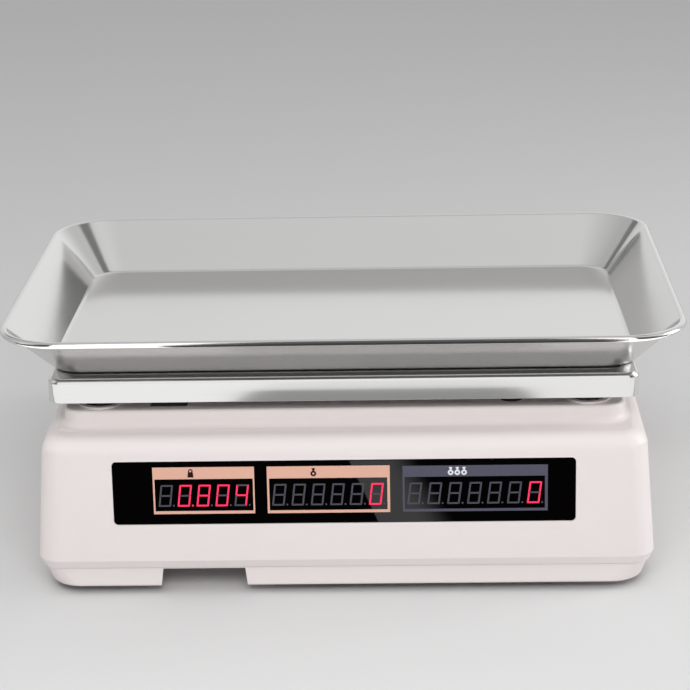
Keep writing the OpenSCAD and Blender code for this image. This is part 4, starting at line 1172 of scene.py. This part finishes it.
satin_steel = brushed("satin_steel", 0.14)
under_steel = brushed("under_steel", 0.24, streak=0.04)
bead_steel = brushed("bead_steel", 0.10, depth=0.000002)
sections = list(zip(tray_section(side_lean), tray_section(end_lean)))
sheet_work, bead_work = bmesh.new(), bmesh.new()
sheet_rings = [tray_ring(sheet_work, *pair) for pair in sections[:bead_start + 1] + sections[bead_end:]]
bead_rings = [tray_ring(bead_work, *pair) for pair in sections[bead_start:bead_end + 1]]
faces = bridge(sheet_work, sheet_rings)
outside = 2 + (bead_start + 1)*len(sheet_rings[0])
for face in [faces[1], *faces[outside:]]:
    face.material_index = 1
bridge(bead_work, bead_rings, looped=True)
tray_place = Matrix.Translation(((tray_low.x + tray_high.x)/2, (tray_low.y + tray_high.y)/2, tray_low.z))
tray_sheet = piece("goods_tray_sheet", sheet_work, tray_place, "tray", satin_steel, under_steel,
                   angle=sheet_angle)
tray_bead = piece("goods_tray_bead", bead_work, tray_place, "tray", bead_steel, angle=sheet_angle)
for sheet in (tray_sheet, tray_bead):
    stand_for("goods_tray")

# What the steel and the customer's window mirror: bright strips of the counter and of the studio
# wall behind the camera, on an unlit studio, and two dark gaps over the tray's back corners. They
# light nothing, and each strip is seen in one piece only.
counter_z = 0.003
bright_wall, front_wall, window_glare = 1.6, 0.95, 9
to_right, to_back, up = (1, 0, 0), (0, 1, 0), (0, 0, 1)


def hide_from(obj, *rays):
    for kind in rays:
        setattr(obj, "visible_" + kind, False)


def mirrored_strip(name, seen_in, radiance, centre, width, height, right=to_right, facing=up,
                   fading=False):
    """A glowing rectangle that only one piece mirrors; it may fade out towards its right end."""
    x_axis, z_axis = Vector(right).normalized(), -Vector(facing)
    strip = area_light(name, centre, Vector(centre) - z_axis, width, height,
                       radiance*width*height*math.pi)
    strip.matrix_world = axes_at(centre, x_axis, z_axis.cross(x_axis), z_axis)
    if fading:
        strip.data.use_nodes = True
        tree = strip.data.node_tree
        spot = add_node(tree, "ShaderNodeNewGeometry").outputs["Parametric"]
        along = add_node(tree, "ShaderNodeSeparateXYZ", (spot,)).outputs["X"]
        tree.links.new(add_range(tree, along, 0.5, 1.0, 1.0, 0.0),
                       tree.nodes["Emission"].inputs["Strength"])
    hide_from(strip, "camera", "diffuse", "transmission", "volume_scatter")
    viewers = bpy.data.collections.new(name + "_seen_in")
    viewers.objects.link(seen_in)
    strip.light_linking.receiver_collection = viewers


def mirrored_patch(name, grey, centre, across, along):
    """A dull grey plate that only reflections show."""
    centre, across, along = Vector(centre), Vector(across), Vector(along)
    corners = [centre - across - along, centre + across - along, centre + across + along,
               centre - across + along]
    patch = plate(name, corners, new_material(name, (grey,)*3, 0.9, Specular_IOR_Level=0.0))
    hide_from(patch, "camera", "diffuse", "transmission", "shadow")


mirrored_patch("unlit_studio", grey=0.06, centre=(0, -3.59, 0.0015), across=(4, 0, 0),
               along=(0, 3.41, 0))
mirrored_patch("left_gap", grey=0.34, centre=(0.64, 0.47, 1.92), across=(0.13, 0.18, -0.10),
               along=(-0.25, 0.22, 0.07))
mirrored_patch("right_gap", grey=0.34, centre=(-0.87, 1.38, 1.25), across=(-0.03, -0.17, 0.16),
               along=(0.29, 0.10, 0.16))
for name, x_low, x_high, y_low, y_high, radiance, seen_in in (
        ("counter_left", -0.90, -0.078, -1.60, -0.20, 1.04, pan_sheet),
        ("counter_far", -0.078, 0.125, -1.60, -0.463, 0.90, pan_sheet),
        ("counter_near", -0.078, 0.125, -0.463, -0.20, 0.28, pan_sheet),
        ("counter_right", 0.125, 0.90, -1.60, -0.20, 0.98, pan_sheet),
        ("counter_under", -0.50, 0.50, -0.60, -0.18, 0.70, tray_sheet)):
    mirrored_strip(name, seen_in, radiance, ((x_low + x_high)/2, (y_low + y_high)/2, counter_z),
                   width=x_high - x_low, height=y_high - y_low)
mirrored_strip("front_wall", pan_sheet, front_wall, (0, -1.7, 0.8), width=2.4, height=1.6,
               facing=to_back)
for side, x_low, x_high, end_x, lean in (("left", -0.52, -0.22, -0.327, -0.12),
                                         ("right", 0.31, 0.60, 0.386, 0.124)):
    mirrored_strip("wall_" + side, tray_bead, bright_wall, ((x_low + x_high)/2, -1.3, 1.1),
                   width=x_high - x_low, height=2.2, facing=to_back)
    mirrored_strip("counter_end_" + side, tray_bead, bright_wall, (end_x, -0.717, counter_z),
                   width=0.3, height=1.14, right=(1, lean, 0))
mirrored_strip("window_glare", customer_pane, window_glare, (0.0282, -0.4238, counter_z),
               width=0.050, height=0.36, right=(0.991, -0.136, 0), fading=True)
